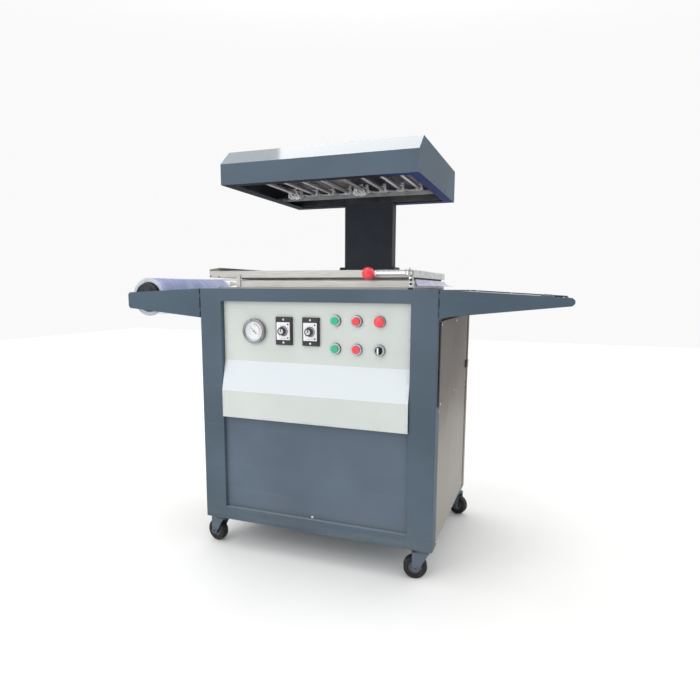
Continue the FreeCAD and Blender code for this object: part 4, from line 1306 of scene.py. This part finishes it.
class PACKER_OT_panel_screws(bpy.types.Operator):
    """Screws of the front, the sides, the back and the side cover."""
    bl_idname = "packer.panel_screws"
    bl_label = "Panel screws"

    def execute(self, context):
        sizes = context.scene.packer_fixings
        screw = cross_screw(sizes.screw, sizes.head)
        low, high = corners("lower_front_panel")
        row_of(screw, "lower_panel_screw",
               [Vector((CABINET_X, low.y + 0.1 * MM, low.z + 4.5 * MM))], FRONT,
               "white screw")
        low, high = corners("rear_panel")
        face = high.y - 6.0 * MM
        places = []
        for x in (low.x + 12 * MM, (low.x + high.x) / 2, high.x - 12 * MM):
            for z in (low.z + 12 * MM, high.z - 12 * MM):
                places.append(Vector((x, face - 0.1 * MM, z)))
        for x in (low.x + 12 * MM, high.x - 12 * MM):
            places.append(Vector((x, face - 0.1 * MM, (low.z + high.z) / 2)))
        row_of(screw, "rear_panel_screws", places, BACK, "screw steel")
        for name, side, out in (("left_side_panel", 0, LEFT), ("right_side_panel", 1, RIGHT)):
            low, high = corners(name)
            x = (low.x + 0.1 * MM) if side == 0 else (high.x - 0.1 * MM)
            places = []
            for y in (low.y + 14 * MM, high.y - 14 * MM):
                for z in (low.z + 16 * MM, low.z + 0.37, high.z - 130 * MM * side - 16 * MM):
                    if side == 0 or z < COVER_LOW.z - 8 * MM:
                        places.append(Vector((x, y, z)))
            row_of(screw, name + "_screws", places, out, "screw steel")
        places = []
        plate_x = COVER_HIGH.x - 6.0 * MM
        for y in (COVER_LOW.y + 9 * MM, (COVER_LOW.y + COVER_HIGH.y) / 2):
            for z in (COVER_LOW.z + 9 * MM, COVER_HIGH.z - 9 * MM):
                places.append(Vector((plate_x - 0.1 * MM, y, z)))
        row_of(screw, "side_cover_screws", places, RIGHT, "screw steel")
        removed(screw)
        latch = slot_screw(7.0 * MM, 1.6 * MM)
        place = Vector((COVER_HIGH.x - 0.2 * MM, COVER_HIGH.y - 14 * MM, COVER_LOW.z + 60 * MM))
        row_of(latch, "cover_latch_screw", [place], RIGHT, "screw steel",
               spins=[0.4])
        removed(latch)
        return {"FINISHED"}


class PACKER_OT_clamp_fittings(bpy.types.Operator):
    """Screws, hook, bracket, seal and ribs of the film clamp."""
    bl_idname = "packer.clamp_fittings"
    bl_label = "Clamp fittings"

    def execute(self, context):
        sizes = context.scene.packer_fixings
        body = "upper_clamp"
        frame_front = SHEET_LOW.y - 15 * MM
        bar_low = CLAMP_HIGH.z - 19 * MM
        mid = (bar_low + CLAMP_HIGH.z) / 2
        screw = cross_screw(sizes.small_screw, 1.1 * MM)
        places = [Vector((CLAMP_LOW.x + x * MM, frame_front + 0.1 * MM, mid + z * MM))
                  for x, z in ((4, -5), (33, -7), (91, -6))]
        row_of(screw, "clamp_front_screws", places, FRONT, "dark screw", body)
        top = CLAMP_HIGH.z - 0.1 * MM
        rear = SHEET_HIGH.y + 15 * MM
        places = []
        for x in (CLAMP_LOW.x + 15 * MM, CLAMP_HIGH.x - 15 * MM):
            for y in (frame_front + 15 * MM, rear - 15 * MM):
                places.append(Vector((x, y, top)))
        row_of(screw, "clamp_corner_screws", places, UP, "screw steel", body)
        self.guide(body)
        self.toggles()
        self.hinge_screws(screw, rear)
        removed(screw)
        self.entry_plate(frame_front)
        self.guide_end(body, frame_front)
        self.deck_seal()
        return {"FINISHED"}

    def deck_seal(self):
        """Grey foam strip on the top plate, which the lowered clamp rests against."""
        height = LOWER_LOW.z - CABINET_TOP - 0.4 * MM
        width = 13.0 * MM
        x0, x1 = LOWER_LOW.x - 62 * MM, LOWER_HIGH.x - 1.0 * MM
        y0, y1 = LOWER_LOW.y + 3.0 * MM, SHEET_HIGH.y + 12 * MM
        strips = []
        for length, place, spin in (
                (x1 - x0, ((x0 + x1) / 2, y0 + width / 2), 0.0),
                (x1 - x0, ((x0 + x1) / 2, y1 - width / 2), 0.0),
                (y1 - y0, (x0 + width / 2, (y0 + y1) / 2), math.pi / 2),
                (y1 - y0, (x1 - width / 2, (y0 + y1) / 2), math.pi / 2)):
            strip = block("seal strip", length, width, height)
            step_top(strip, height, 2.5 * MM, -0.8 * MM)
            done()
            strips.append(placed(strip, Vector((*place, CABINET_TOP)), UP, spin))
        finished(joined(strips, "deck_seal"), "pale seal foam")

    def guide_end(self, body, frame_front):
        """Rubber end block that brings the entry strip to the front bar's corner."""
        low, high = corners("film_guide")
        block_end = block("film_guide_end", 32.0 * MM, low.y - frame_front, high.z - CLAMP_HIGH.z)
        select_faces(block_end, lambda centre, normal: normal.x > 0.9)
        bpy.ops.transform.resize(value=(1, 1, 0.5))
        bpy.ops.transform.translate(value=(0, 0, -(high.z - CLAMP_HIGH.z) * 0.25))
        done()
        applied(block_end, "BEVEL", width=0.8 * MM, segments=2, limit_method="ANGLE")
        place = Vector((CLAMP_LOW.x + 16.5 * MM, (low.y + frame_front) / 2, CLAMP_HIGH.z))
        finished(placed(block_end, place), "guide rubber", body)

    def guide(self, body):
        """Gripping ribs on the film entry strip."""
        low, high = corners("film_guide")
        rib = block("rib pattern", high.x - low.x + 0.8 * MM, 2.6 * MM, 1.6 * MM)
        select_faces(rib, top_face(1.6 * MM))
        bpy.ops.transform.resize(value=(0.96, 0.4, 1))
        done()
        count = int((high.y - low.y) / (7.5 * MM))
        places = []
        for index in range(count):
            y = low.y + (index + 0.5) * (high.y - low.y) / count
            places.append(Vector(((low.x + high.x) / 2, y, high.z - 0.6 * MM)))
        row_of(rib, "film_guide_ribs", places, UP, "guide rubber", body,
               [0.0] * count)
        removed(rib)

    def toggles(self):
        """Bright catch on the right end of the front bar, in hook and pins."""
        plate_low, plate_high = corners("lower_film_frame")
        x = plate_high.x - 6 * MM
        z0 = plate_low.z
        hook = block("clamp_hook", 9.0 * MM, 2.4 * MM, 21.0 * MM)
        select_faces(hook, lambda centre, normal: normal.z > 0.9)
        extrude_up(3.0 * MM)
        bpy.ops.transform.resize(value=(0.66, 1, 1))
        done()
        applied(hook, "BEVEL", width=0.5 * MM, segments=2, limit_method="ANGLE")
        placed(hook, Vector((x, plate_low.y - 1.1 * MM, z0 + 4 * MM)))
        finished(hook, "bright chrome", "film_carriage")
        pin = hex_bolt(3.0 * MM, 2.2 * MM)
        places = [Vector((x, plate_low.y - 2.2 * MM, z0 + 9 * MM)),
                  Vector((x, plate_low.y - 2.2 * MM, z0 + 20 * MM))]
        row_of(pin, "clamp_hook_pins", places, FRONT, "dark screw", "film_carriage")
        removed(pin)

    def hinge_screws(self, screw, rear):
        """Screws beside the hinge knuckles on the rear bar."""
        places = []
        centre = (LOWER_LOW.x + LOWER_HIGH.x) / 2
        for x in (centre - 165 * MM, centre + 165 * MM):
            for dx in (-9 * MM, 9 * MM):
                places.append(Vector((x + dx, rear - 8 * MM, CLAMP_HIGH.z - 0.1 * MM)))
        row_of(screw, "hinge_screws", places, UP, "screw steel", "upper_clamp")

    def entry_plate(self, frame_front):
        """Bracket under the entry bar, where the film goes into the clamp."""
        low = corners("lower_film_frame")[0]
        plate = block("entry_bracket", 26.0 * MM, 3.0 * MM, 13.0 * MM)
        select_faces(plate, lambda centre, normal: normal.x < -0.9)
        bpy.ops.transform.resize(value=(1, 1, 0.35))
        done()
        applied(plate, "BEVEL", width=0.6 * MM, segments=2, limit_method="ANGLE")
        placed(plate, Vector((low.x - 12.5 * MM, frame_front + 4 * MM, low.z + 2 * MM)))
        finished(plate, "clamp steel", "film_carriage")


class PACKER_OT_lever_fittings(bpy.types.Operator):
    """Cap nut on the lever's pin and ring on its knob."""
    bl_idname = "packer.lever_fittings"
    bl_label = "Lever fittings"

    def execute(self, context):
        low, high = corners("clamp_lever")
        nut = hex_bolt(5.5 * MM, 3.4 * MM)
        pin = Vector((high.x - 9 * MM, (low.y + high.y) / 2, CLAMP_HIGH.z - 0.1 * MM))
        row_of(nut, "lever_pin_nut", [pin], UP, "screw steel", "upper_clamp",
               [0.3])
        removed(nut)
        knob_high = corners("lever_knob")[1]
        ring = cylinder("knob_ring", 7.6 * MM, 2.2 * MM, 32)
        round_rim(ring, 2.2 * MM, 0.7 * MM, 2)
        step_top(ring, 2.2 * MM, 2.6 * MM, 0.5 * MM)
        done()
        place = Vector((knob_high.x - 0.3 * MM, (low.y + high.y) / 2, (low.z + high.z) / 2))
        placed(ring, place, RIGHT)
        finished(ring, "bright chrome", body_of_node("lever_knob"))
        return {"FINISHED"}


class PACKER_OT_film(bpy.types.Operator):
    """Film drawn from the roll to the clamp, and the film in the clamp with its tail."""
    bl_idname = "packer.film"
    bl_label = "Film"

    def execute(self, context):
        sizes = context.scene.packer_film
        self.drawn_film(sizes)
        self.clamped_film(sizes)
        self.loose_end()
        return {"FINISHED"}

    def strip(self, name, line, y0, y1, across, lift):
        """A sheet along a line of (x, z) points, with a lift for each point."""
        mesh = bpy.data.meshes.new(name)
        shape = bmesh.new()
        rows = []
        for index, (x, z) in enumerate(line):
            row = []
            for step in range(across + 1):
                share = step / across
                y = y0 + (y1 - y0) * share
                dx, dz = lift(index / (len(line) - 1), share, x, y)
                row.append(shape.verts.new((x + dx, y, z + dz)))
            rows.append(row)
        for low, high in zip(rows, rows[1:]):
            for step in range(across):
                shape.faces.new((low[step], low[step + 1], high[step + 1], high[step]))
        shape.normal_update()
        shape.to_mesh(mesh)
        shape.free()
        piece = bpy.data.objects.new(name, mesh)
        bpy.context.collection.objects.link(piece)
        return piece

    def drawn_film(self, sizes):
        """Film that leaves the top of the roll and runs to the clamp's left edge."""
        radius = (ROLL_HIGH.z - ROLL_LOW.z) / 2 + 0.45 * MM
        line = []
        for step in range(13):
            angle = math.radians(150 - 60 * step / 12)
            line.append((ROLL_AXIS.x + radius * math.cos(angle),
                         ROLL_AXIS.z + radius * math.sin(angle)))
        start = line[-1]
        end = (WEB_HIGH.x, SHEET_HIGH.z - 0.5 * MM)
        for step in range(1, 25):
            share = step / 24
            line.append((start[0] + (end[0] - start[0]) * share,
                         start[1] + (end[1] - start[1]) * share))

        def lift(along, across, x, y):
            free = max(0.0, min(1.0, (x - start[0]) / (end[0] - start[0])))
            swell = math.sin(math.pi * free)
            wave = noise.noise(Vector((x * 3.0, y * 26.0, 0.3)))
            sag = -1.4 * MM * swell * math.sin(math.pi * across)
            return 0.0, (wave * sizes.ripple * 1.2 + sag) * swell
        film = self.strip("drawn_film", line, ROLL_LOW.y + 0.5 * MM, ROLL_HIGH.y - 0.5 * MM, 44,
                          lift)
        applied(film, "SOLIDIFY", thickness=sizes.thickness, offset=1.0)
        finished(film, "film", body=None)
        length = radius * math.radians(60) + math.hypot(end[0] - start[0], end[1] - start[1])
        start[0] + 0.02
        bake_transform(film)
        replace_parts(film, "film_web")

    def clamped_film(self, sizes):
        """Film between the clamp's bars: flat at its edges, sagging a little between them."""
        x0 = SHEET_LOW.x
        x1 = LOWER_HIGH.x
        z = SHEET_HIGH.z - 0.5 * MM
        tail = SHEET_HIGH.x - x1
        line = [(x0 + (x1 - x0) * step / 70, z) for step in range(71)]
        for step in range(1, 13):
            share = step / 12
            drop = 15.5 * MM * (share ** 1.5)
            line.append((x1 + (tail - 1.5 * MM) * share, z - drop))

        def lift(along, across, x, y):
            inside_y = max(0.0, min(1.0, min(y - SHEET_LOW.y, SHEET_HIGH.y - y) / 0.09 - 0.2))
            inside_x = max(0.0, min(1.0, min(x - LOWER_LOW.x - 0.035, x1 - 0.035 - x) / 0.09))
            inner = inside_x * inside_x * inside_y * inside_y
            wave = noise.noise(Vector((x * 7.0, y * 19.0, 1.7)))
            dz = (-sizes.sag + wave * sizes.ripple * 0.8) * inner
            if x > x1:
                share = (x - x1) / tail
                flap = noise.noise(Vector((4.0, y * 17.0, 0.9)))
                reach = 0.28 + 0.72 * across ** 2.0
                fall = (1 - (1 - share) ** 2.2) - share ** 1.5
                return ((x - x1) * (reach - 1.0) - 1.5 * MM * share * abs(flap),
                        -15.5 * MM * fall + flap * 1.2 * MM * share)
            return 0.0, dz
        film = self.strip("clamped_film", line, SHEET_LOW.y + 0.3 * MM, SHEET_HIGH.y - 0.3 * MM,
                          60, lift)
        applied(film, "SOLIDIFY", thickness=sizes.thickness, offset=0.0)
        finished(film, "clamped film", "film_carriage")
        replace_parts(film, "film_sheet")

    def loose_end(self):
        """Last turn of the film on the roll, a narrow band most of the way round the front end of the wraps."""
        radius = (ROLL_HIGH.z - ROLL_LOW.z) / 2
        line = []
        for step in range(41):
            share = step / 40
            angle = math.radians(148 + 250 * share)
            out = radius - 0.35 * MM - 0.5 * MM * share
            line.append((ROLL_AXIS.x + out * math.cos(angle), ROLL_AXIS.z + out * math.sin(angle)))
        wrap = self.strip("roll_outer_wrap", line, ROLL_LOW.y - 0.8 * MM, ROLL_LOW.y + 6 * MM, 3,
                          lambda along, across, x, y: (0.0, 0.0))
        applied(wrap, "SOLIDIFY", thickness=0.5 * MM, offset=0.0)
        finished(wrap, "wound film", body_of_node("film_wound"))


class PACKER_OT_roll_end(bpy.types.Operator):
    """Spokes and rim of the roll's end plugs."""
    bl_idname = "packer.roll_end"
    bl_label = "Roll end plugs"

    def execute(self, context):
        low, high = corners("roll_flanges")
        body = body_of_node("roll_flanges")
        pieces = []
        for y, out in ((low.y, FRONT), (high.y, BACK)):
            ring = cylinder("rim", 41.5 * MM, 1.6 * MM, 48)
            step_top(ring, 1.6 * MM, 4.5 * MM, -1.3 * MM)
            stepped(19.0 * MM, 1.2 * MM)
            stepped(2.0 * MM, 0.6 * MM)
            done()
            applied(ring, "BEVEL", width=0.3 * MM, segments=2, limit_method="ANGLE")
            pieces.append(placed(ring, Vector((ROLL_AXIS.x, y, ROLL_AXIS.z)), out))
            for index in range(6):
                angle = math.tau * index / 6
                spoke = block("spoke", 19.0 * MM, 5.0 * MM, 1.5 * MM)
                select_faces(spoke, top_face(1.5 * MM))
                bpy.ops.transform.resize(value=(1, 0.55, 1))
                done()
                spoke.data.transform(Matrix.Rotation(angle, 4, "Z")
                                     @ Matrix.Translation((27.5 * MM, 0, 0)))
                pieces.append(placed(spoke, Vector((ROLL_AXIS.x, y, ROLL_AXIS.z)), out))
        finished(joined(pieces, "roll_end_spokes"), "black plastic", body)
        return {"FINISHED"}


class PACKER_OT_heater_leads(bpy.types.Operator):
    """Beaded leads, posts and end bolts of the heater rods."""
    bl_idname = "packer.heater_leads"
    bl_label = "Heater leads"

    posts = 8
    pitch = 59 * MM

    def execute(self, context):
        rear = TUBES_HIGH.y
        xs = [TUBES_LOW.x + 8 * MM + index * self.pitch for index in range(self.posts)]
        rod_z = (TUBES_LOW.z + TUBES_HIGH.z) / 2
        bead = self.bead_pattern()
        post = self.post_pattern()
        copies = []
        for index, x in enumerate(xs):
            base = Vector((x, rear - 9 * MM, rod_z + 21 * MM))
            copies.append(copy_of(post, "post", base, Vector((0.10 * math.sin(index), 0, -1))))
        removed(post)
        finished(joined(copies, "heater_posts"), "white ceramic")
        strings = []
        for x in (xs[0] - 2 * MM, xs[4] - 9 * MM):
            strings += self.bundle(bead, Vector((x, rear - 46 * MM, rod_z)))
        for a, b in zip(xs, xs[1:]):
            strings += self.string(bead, Vector((a, rear + 3 * MM, rod_z + 4 * MM)),
                                   Vector((b, rear + 3 * MM, rod_z + 4 * MM)), 9, 5 * MM)
            front = TUBES_LOW.y - 1 * MM
            strings += self.string(bead, Vector((a, front, rod_z + 5 * MM)),
                                   Vector((b, front, rod_z + 5 * MM)), 9, 4 * MM)
        removed(bead)
        finished(joined(strings, "heater_bead_leads"), "white ceramic")
        bolt = hex_bolt(3.4 * MM, 3.0 * MM)
        rail_front = RAILS_HIGH.y - 14 * MM
        places = []
        for dx in (8 * MM, 22 * MM):
            places.append(Vector((RAILS_HIGH.x - dx, rail_front + 0.1 * MM, RAILS_LOW.z + 5 * MM)))
            places.append(Vector((RAILS_LOW.x + dx, rail_front + 0.1 * MM, RAILS_LOW.z + 5 * MM)))
        row_of(bolt, "rail_bolts", places, FRONT, "white screw")
        removed(bolt)
        return {"FINISHED"}

    def bead_pattern(self):
        bead = cylinder("bead pattern", 3.3 * MM, 5.2 * MM, 10)
        bead.data.transform(Matrix.Translation((0, 0, -2.5 * MM)))
        only(bead)
        bpy.ops.object.mode_set(mode="EDIT")
        bpy.ops.mesh.select_all(action="SELECT")
        bpy.ops.mesh.bevel(offset=1.0 * MM, segments=1, affect="EDGES")
        done()
        return recalculated(bead)

    def post_pattern(self):
        """Waisted insulator with two collars, a round bead and a bent tip."""
        post = cylinder("post pattern", 5.0 * MM, 3.0 * MM, 14)
        select_faces(post, top_face(3.0 * MM))
        for width, rise, side in ((0.62, 0.8, 0.0), (1.0, 8.0, 0.0), (1.75, 1.0, 0.0),
                                  (1.15, 2.0, 0.0), (0.62, 2.2, 0.0), (0.8, 1.0, 0.0),
                                  (1.0, 7.0, 0.6), (1.5, 0.8, 0.4), (1.0, 2.0, 1.0),
                                  (0.6, 2.4, 2.0)):
            extrude_up(rise * MM)
            bpy.ops.transform.translate(value=(side * MM, 0, 0))
            bpy.ops.transform.resize(value=(width, width, 1))
        done()
        return post

    def string(self, bead, start, end, count, sag):
        """Beads in a hanging row between two points."""
        copies = []
        for index in range(count):
            share = (index + 0.5) / count
            place = start.lerp(end, share)
            place.z -= sag * math.sin(math.pi * share)
            slope = -sag * math.pi * math.cos(math.pi * share) / (end - start).length
            direction = Vector((end - start)).normalized() + Vector((0, 0, slope))
            copies.append(copy_of(bead, "bead", place, direction))
        return copies

    def bundle(self, bead, centre):
        """Four strings of beads that hang in loops where the leads come together."""
        copies = []
        for turn in range(4):
            across = (turn - 1.5) * 9.5 * MM
            for index in range(15):
                angle = math.pi * (0.05 + 0.90 * index / 14)
                offset = Vector((across + 3.5 * MM * math.sin(5 * angle + turn),
                                 -24 * MM * math.cos(angle), -29 * MM * math.sin(angle)
                                 + 14 * MM + 1.5 * MM * math.cos(3 * angle + 2 * turn)))
                ahead = Vector((0, 24 * math.sin(angle), -29 * math.cos(angle)))
                copies.append(copy_of(bead, "bead", centre + offset, ahead))
        return copies


class PACKER_OT_hood_details(bpy.types.Operator):
    """Rivets and back screws of the hood."""
    bl_idname = "packer.hood_details"
    bl_label = "Hood details"

    def execute(self, context):
        sizes = context.scene.packer_fixings
        low, high = HOOD_LOW, HOOD_HIGH
        pin = rivet(2.6 * MM, 1.2 * MM)
        for name, x, out in (("hood_left_rivets", low.x, LEFT),
                             ("hood_right_rivets", high.x, RIGHT)):
            places = [Vector((x - out.x * 0.1 * MM, y, low.z + 10 * MM))
                      for y in (high.y - 16 * MM, high.y - 0.17, high.y - 0.33, low.y + 22 * MM)]
            row_of(pin, name, places, out, "slate hood paint")
        removed(pin)
        screw = cross_screw(sizes.screw, sizes.head)
        places = [Vector((x, high.y - 0.1 * MM, low.z + 16 * MM))
                  for x in (low.x + 30 * MM, COLUMN_LOW.x - 5 * MM, COLUMN_HIGH.x + 5 * MM,
                            high.x - 30 * MM)]
        row_of(screw, "hood_back_screws", places, BACK, "screw steel")
        removed(screw)
        return {"FINISHED"}


class PACKER_OT_column_bolts(bpy.types.Operator):
    """Bolts in the column's foot plate and in the lift collar."""
    bl_idname = "packer.column_bolts"
    bl_label = "Column and collar bolts"

    def execute(self, context):
        sizes = context.scene.packer_fixings
        bolt = hex_bolt(sizes.bolt, 4.0 * MM)
        places = []
        foot_top = COLUMN_LOW.z + 8 * MM - 0.1 * MM
        y = (COLUMN_LOW.y + COLUMN_HIGH.y) / 2
        for x in (COLUMN_LOW.x + 12 * MM, COLUMN_HIGH.x - 12 * MM):
            for dy in (-14 * MM, 14 * MM):
                places.append(Vector((x, y + dy, foot_top)))
        row_of(bolt, "column_foot_bolts", places, UP, "screw steel")
        high = corners("lift_carriage")[1]
        collar_front = high.y - 73 * MM
        places = [Vector((middle("lift_carriage").x + x, collar_front + 0.1 * MM,
                          high.z - 14 * MM)) for x in (-70 * MM, 70 * MM)]
        small = hex_bolt(4.2 * MM, 3.2 * MM)
        row_of(small, "collar_bolts", places, FRONT, "screw steel", "film_carriage")
        removed(small)
        removed(bolt)
        return {"FINISHED"}


class PACKER_OT_platen_holes(bpy.types.Operator):
    """Suction eyelets where the table's grooves cross."""
    bl_idname = "packer.platen_holes"
    bl_label = "Table eyelets"

    pitch = 40 * MM

    def execute(self, context):
        centre = (PLATEN_LOW + PLATEN_HIGH) / 2
        eyelet = cylinder("eyelet pattern", 2.6 * MM, 1.9 * MM, 12)
        step_top(eyelet, 1.9 * MM, 0.9 * MM, -1.4 * MM)
        done()
        places = []
        for i in range(-4, 6):
            for j in range(-3, 4):
                x = centre.x + (i - 0.5) * self.pitch
                y = centre.y + j * self.pitch
                places.append(Vector((x, y, PLATEN_HIGH.z - 2.0 * MM)))
        row_of(eyelet, "table_eyelets", places, UP, "shaft steel")
        removed(eyelet)
        return {"FINISHED"}


class PACKER_OT_caster_fittings(bpy.types.Operator):
    """Plate bolts, axle nuts and hub rings of the four casters."""
    bl_idname = "packer.caster_fittings"
    bl_label = "Caster fittings"

    def execute(self, context):
        plates_low, plates_high = corners("caster_plates")
        bolt = hex_bolt(3.6 * MM, 2.2 * MM)
        places = []
        for x0 in (plates_low.x, plates_high.x - 62 * MM):
            for y0 in (plates_low.y, plates_high.y - 54 * MM):
                for dx in (7 * MM, 55 * MM):
                    for dy in (6.5 * MM, 47.5 * MM):
                        places.append(Vector((x0 + dx, y0 + dy, plates_low.z + 0.1 * MM)))
        row_of(bolt, "caster_plate_bolts", places, DOWN, "screw steel")
        removed(bolt)
        ring = self.hub_pattern()
        nut = hex_bolt(4.0 * MM, 1.6 * MM)
        for joint in frame["joints"]:
            child = joint["child"]
            if not child.startswith("wheel_"):
                continue
            corner = child[len("wheel_"):]
            centre = Vector(joint["pos_m"])
            axle = Vector(joint["axis"]).normalized()
            rings = []
            nuts = []
            for side in (-1, 1):
                rings.append(copy_of(ring, "ring", centre + axle * side * 9.2 * MM, axle * side))
                nuts.append(copy_of(nut, "nut", centre + axle * side * 20.8 * MM, axle * side))
            finished(joined(rings, "wheel_hub_" + corner), "hub zinc", child)
            finished(joined(nuts, "axle_nuts_" + corner), "hub zinc", "fork_" + corner)
        removed(ring)
        removed(nut)
        return {"FINISHED"}

    def hub_pattern(self):
        """Pressed grey hub ring with a raised lip, set in the wheel's dish."""
        ring = cylinder("hub pattern", 18.6 * MM, 1.2 * MM, 32)
        step_top(ring, 1.2 * MM, 2.0 * MM, -0.7 * MM)
        stepped(5.0 * MM, 0.9 * MM)
        done()
        return ring


class PACKER_OT_table_details(bpy.types.Operator):
    """Dark end strip and screws of the outfeed table."""
    bl_idname = "packer.table_details"
    bl_label = "Outfeed table details"

    fall = 17.0 * MM
    run = 311.5 * MM

    def execute(self, context):
        sizes = context.scene.packer_fixings
        screw = cross_screw(sizes.screw, sizes.head)
        slope = math.atan2(self.fall, self.run)
        normal = Vector((math.sin(slope), 0, math.cos(slope)))
        places = []
        for share in (0.08, 0.5, 0.92):
            x = TABLE_LOW.x + (TABLE_HIGH.x - TABLE_LOW.x) * share
            z = TABLE_HIGH.z - (x - TABLE_LOW.x) * math.tan(slope) - 0.1 * MM
            for y in (TABLE_LOW.y + 9 * MM, TABLE_HIGH.y - 9 * MM):
                places.append(Vector((x, y, z)))
        row_of(screw, "outfeed_table_screws", places, normal, "screw steel")
        removed(screw)
        self.end_strip(slope)
        return {"FINISHED"}

    def end_strip(self, slope):
        """Dark rubber strip along the table's outer edge."""
        depth = TABLE_HIGH.y - TABLE_LOW.y
        strip = block("table_end_strip", 30 * MM, depth - 12 * MM, 3.0 * MM)
        step_top(strip, 3.0 * MM, 1.2 * MM, 0.9 * MM)
        stepped(8.0 * MM, -0.6 * MM)
        done()
        applied(strip, "BEVEL", width=0.5 * MM, segments=2, limit_method="ANGLE")
        x = TABLE_HIGH.x - 17 * MM
        z = TABLE_HIGH.z - (x - TABLE_LOW.x) * math.tan(slope) - 0.1 * MM
        strip.data.transform(Matrix.Rotation(slope, 4, "Y"))
        strip.data.transform(Matrix.Translation((x, (TABLE_LOW.y + TABLE_HIGH.y) / 2, z)))
        finished(strip, "gasket rubber")


class PACKER_OT_stage(bpy.types.Operator):
    """Plain pale floor, soft lights, even sky and the camera."""
    bl_idname = "packer.stage"
    bl_label = "Stage"

    camera_place = (0.5900, -1.6184, 0.7843)
    yaw = 0.34909
    pitch = -0.14017
    roll = 0.005538
    lens = 28.054
    shift = (-0.00304, 0.02252)

    def execute(self, context):
        stage = context.scene.packer_stage
        self.floor(stage)
        self.sky(stage)
        self.area("key light", (-1.3, -3.0, 1.9), (0.0, 0.0, 0.75), (2.4, 2.4), stage.key_power)
        self.card("bright card", (-0.46, 0.38, 3.15), (1.50, 1.7), stage.card_power)
        self.card("dim card", (-1.76, 0.38, 3.15), (1.1, 1.7), stage.card_power * 0.06)
        self.camera()
        context.scene.view_settings.view_transform = "Standard"
        return {"FINISHED"}

    def floor(self, stage):
        nothing_selected()
        bpy.ops.mesh.primitive_plane_add(size=stage.floor_size, location=(0, 0, 0))
        floor = bpy.context.object
        floor.name = "stage_floor"
        floor.data.materials.append(material("stage floor"))

    def sky(self, stage):
        """White behind the machine, brighter above, softer in front of it."""
        world = bpy.data.worlds.new("studio sky")
        r = Recipe("studio sky", world)
        _, y, z = r.axes()
        strength = y.ramp(-0.9, 0.35) * (0.95 - stage.sky) + stage.sky + z.ramp(0.35, 0.8) * 0.7
        back = r.node("ShaderNodeBackground", {}, {"Color": (1, 1, 1, 1), "Strength": strength})
        output = r.tree.nodes.new("ShaderNodeOutputWorld")
        r.tree.links.new(back.socket, output.inputs["Surface"])
        bpy.context.scene.world = world

    def card(self, name, place, size, power):
        """Overhead card that only shows in gloss, such as the hood's sloped edge."""
        lamp = self.area(name, place, (place[0], place[1], 0.0), size, power)
        lamp.visible_diffuse = False

    def area(self, name, place, target, size, power):
        light = bpy.data.lights.new(name, "AREA")
        light.shape = "RECTANGLE"
        light.size, light.size_y = size
        light.energy = power
        lamp = bpy.data.objects.new(name, light)
        bpy.context.collection.objects.link(lamp)
        lamp.location = place
        lamp.rotation_euler = (Vector(target) - Vector(place)).to_track_quat("-Z", "Y").to_euler()
        return lamp

    def camera(self):
        forward = Vector((-math.sin(self.yaw) * math.cos(self.pitch),
                          math.cos(self.yaw) * math.cos(self.pitch), math.sin(self.pitch)))
        level = Vector((math.cos(self.yaw), math.sin(self.yaw), 0.0))
        above = level.cross(forward)
        right = level * math.cos(self.roll) + above * math.sin(self.roll)
        up = above * math.cos(self.roll) - level * math.sin(self.roll)
        data = bpy.data.cameras.new("camera")
        data.lens = self.lens
        data.sensor_width = 36.0
        data.shift_x, data.shift_y = self.shift
        camera = bpy.data.objects.new("camera", data)
        bpy.context.collection.objects.link(camera)
        turn = Matrix((right, up, -forward)).transposed().to_4x4()
        camera.matrix_world = Matrix.Translation(self.camera_place) @ turn
        bpy.context.scene.camera = camera


class PACKER_PT_panel(bpy.types.Panel):
    """Lists the pieces of the machine in the 3D view's sidebar."""
    bl_label = "Skin packaging machine"
    bl_idname = "PACKER_PT_panel"
    bl_space_type = "VIEW_3D"
    bl_region_type = "UI"
    bl_category = "Packer"

    def draw(self, context):
        column = self.layout.column()
        for operator in OPERATORS:
            column.operator(operator.bl_idname)
        for group in ("packer_stage", "packer_fixings", "packer_film"):
            settings = getattr(context.scene, group)
            for name in settings.bl_rna.properties.keys():
                if name not in ("rna_type", "name"):
                    column.prop(settings, name)


SETTINGS = {
    "packer_stage": StageSettings,
    "packer_fixings": FixingSettings,
    "packer_film": FilmSettings,
}

OPERATORS = (
    PACKER_OT_finishes,
    PACKER_OT_gauge,
    PACKER_OT_timer_plates,
    PACKER_OT_selector_mark,
    PACKER_OT_collar_rings,
    PACKER_OT_lamp,
    PACKER_OT_panel_screws,
    PACKER_OT_clamp_fittings,
    PACKER_OT_lever_fittings,
    PACKER_OT_film,
    PACKER_OT_roll_end,
    PACKER_OT_heater_leads,
    PACKER_OT_hood_details,
    PACKER_OT_column_bolts,
    PACKER_OT_platen_holes,
    PACKER_OT_caster_fittings,
    PACKER_OT_table_details,
    PACKER_OT_stage,
)


def register():
    """Registers the settings, the operators and the panel."""
    for kind in (*SETTINGS.values(), *OPERATORS, PACKER_PT_panel):
        bpy.utils.register_class(kind)
    for name, kind in SETTINGS.items():
        setattr(bpy.types.Scene, name, bpy.props.PointerProperty(type=kind))


def unregister():
    """Takes them away again."""
    for name in SETTINGS:
        delattr(bpy.types.Scene, name)
    for kind in (PACKER_PT_panel, *reversed(OPERATORS), *reversed(list(SETTINGS.values()))):
        bpy.utils.unregister_class(kind)


def main():
    """Builds the looks in order."""
    register()
    for operator in OPERATORS:
        group, name = operator.bl_idname.split(".")
        getattr(getattr(bpy.ops, group), name)()


if __name__ == "__main__":
    main()
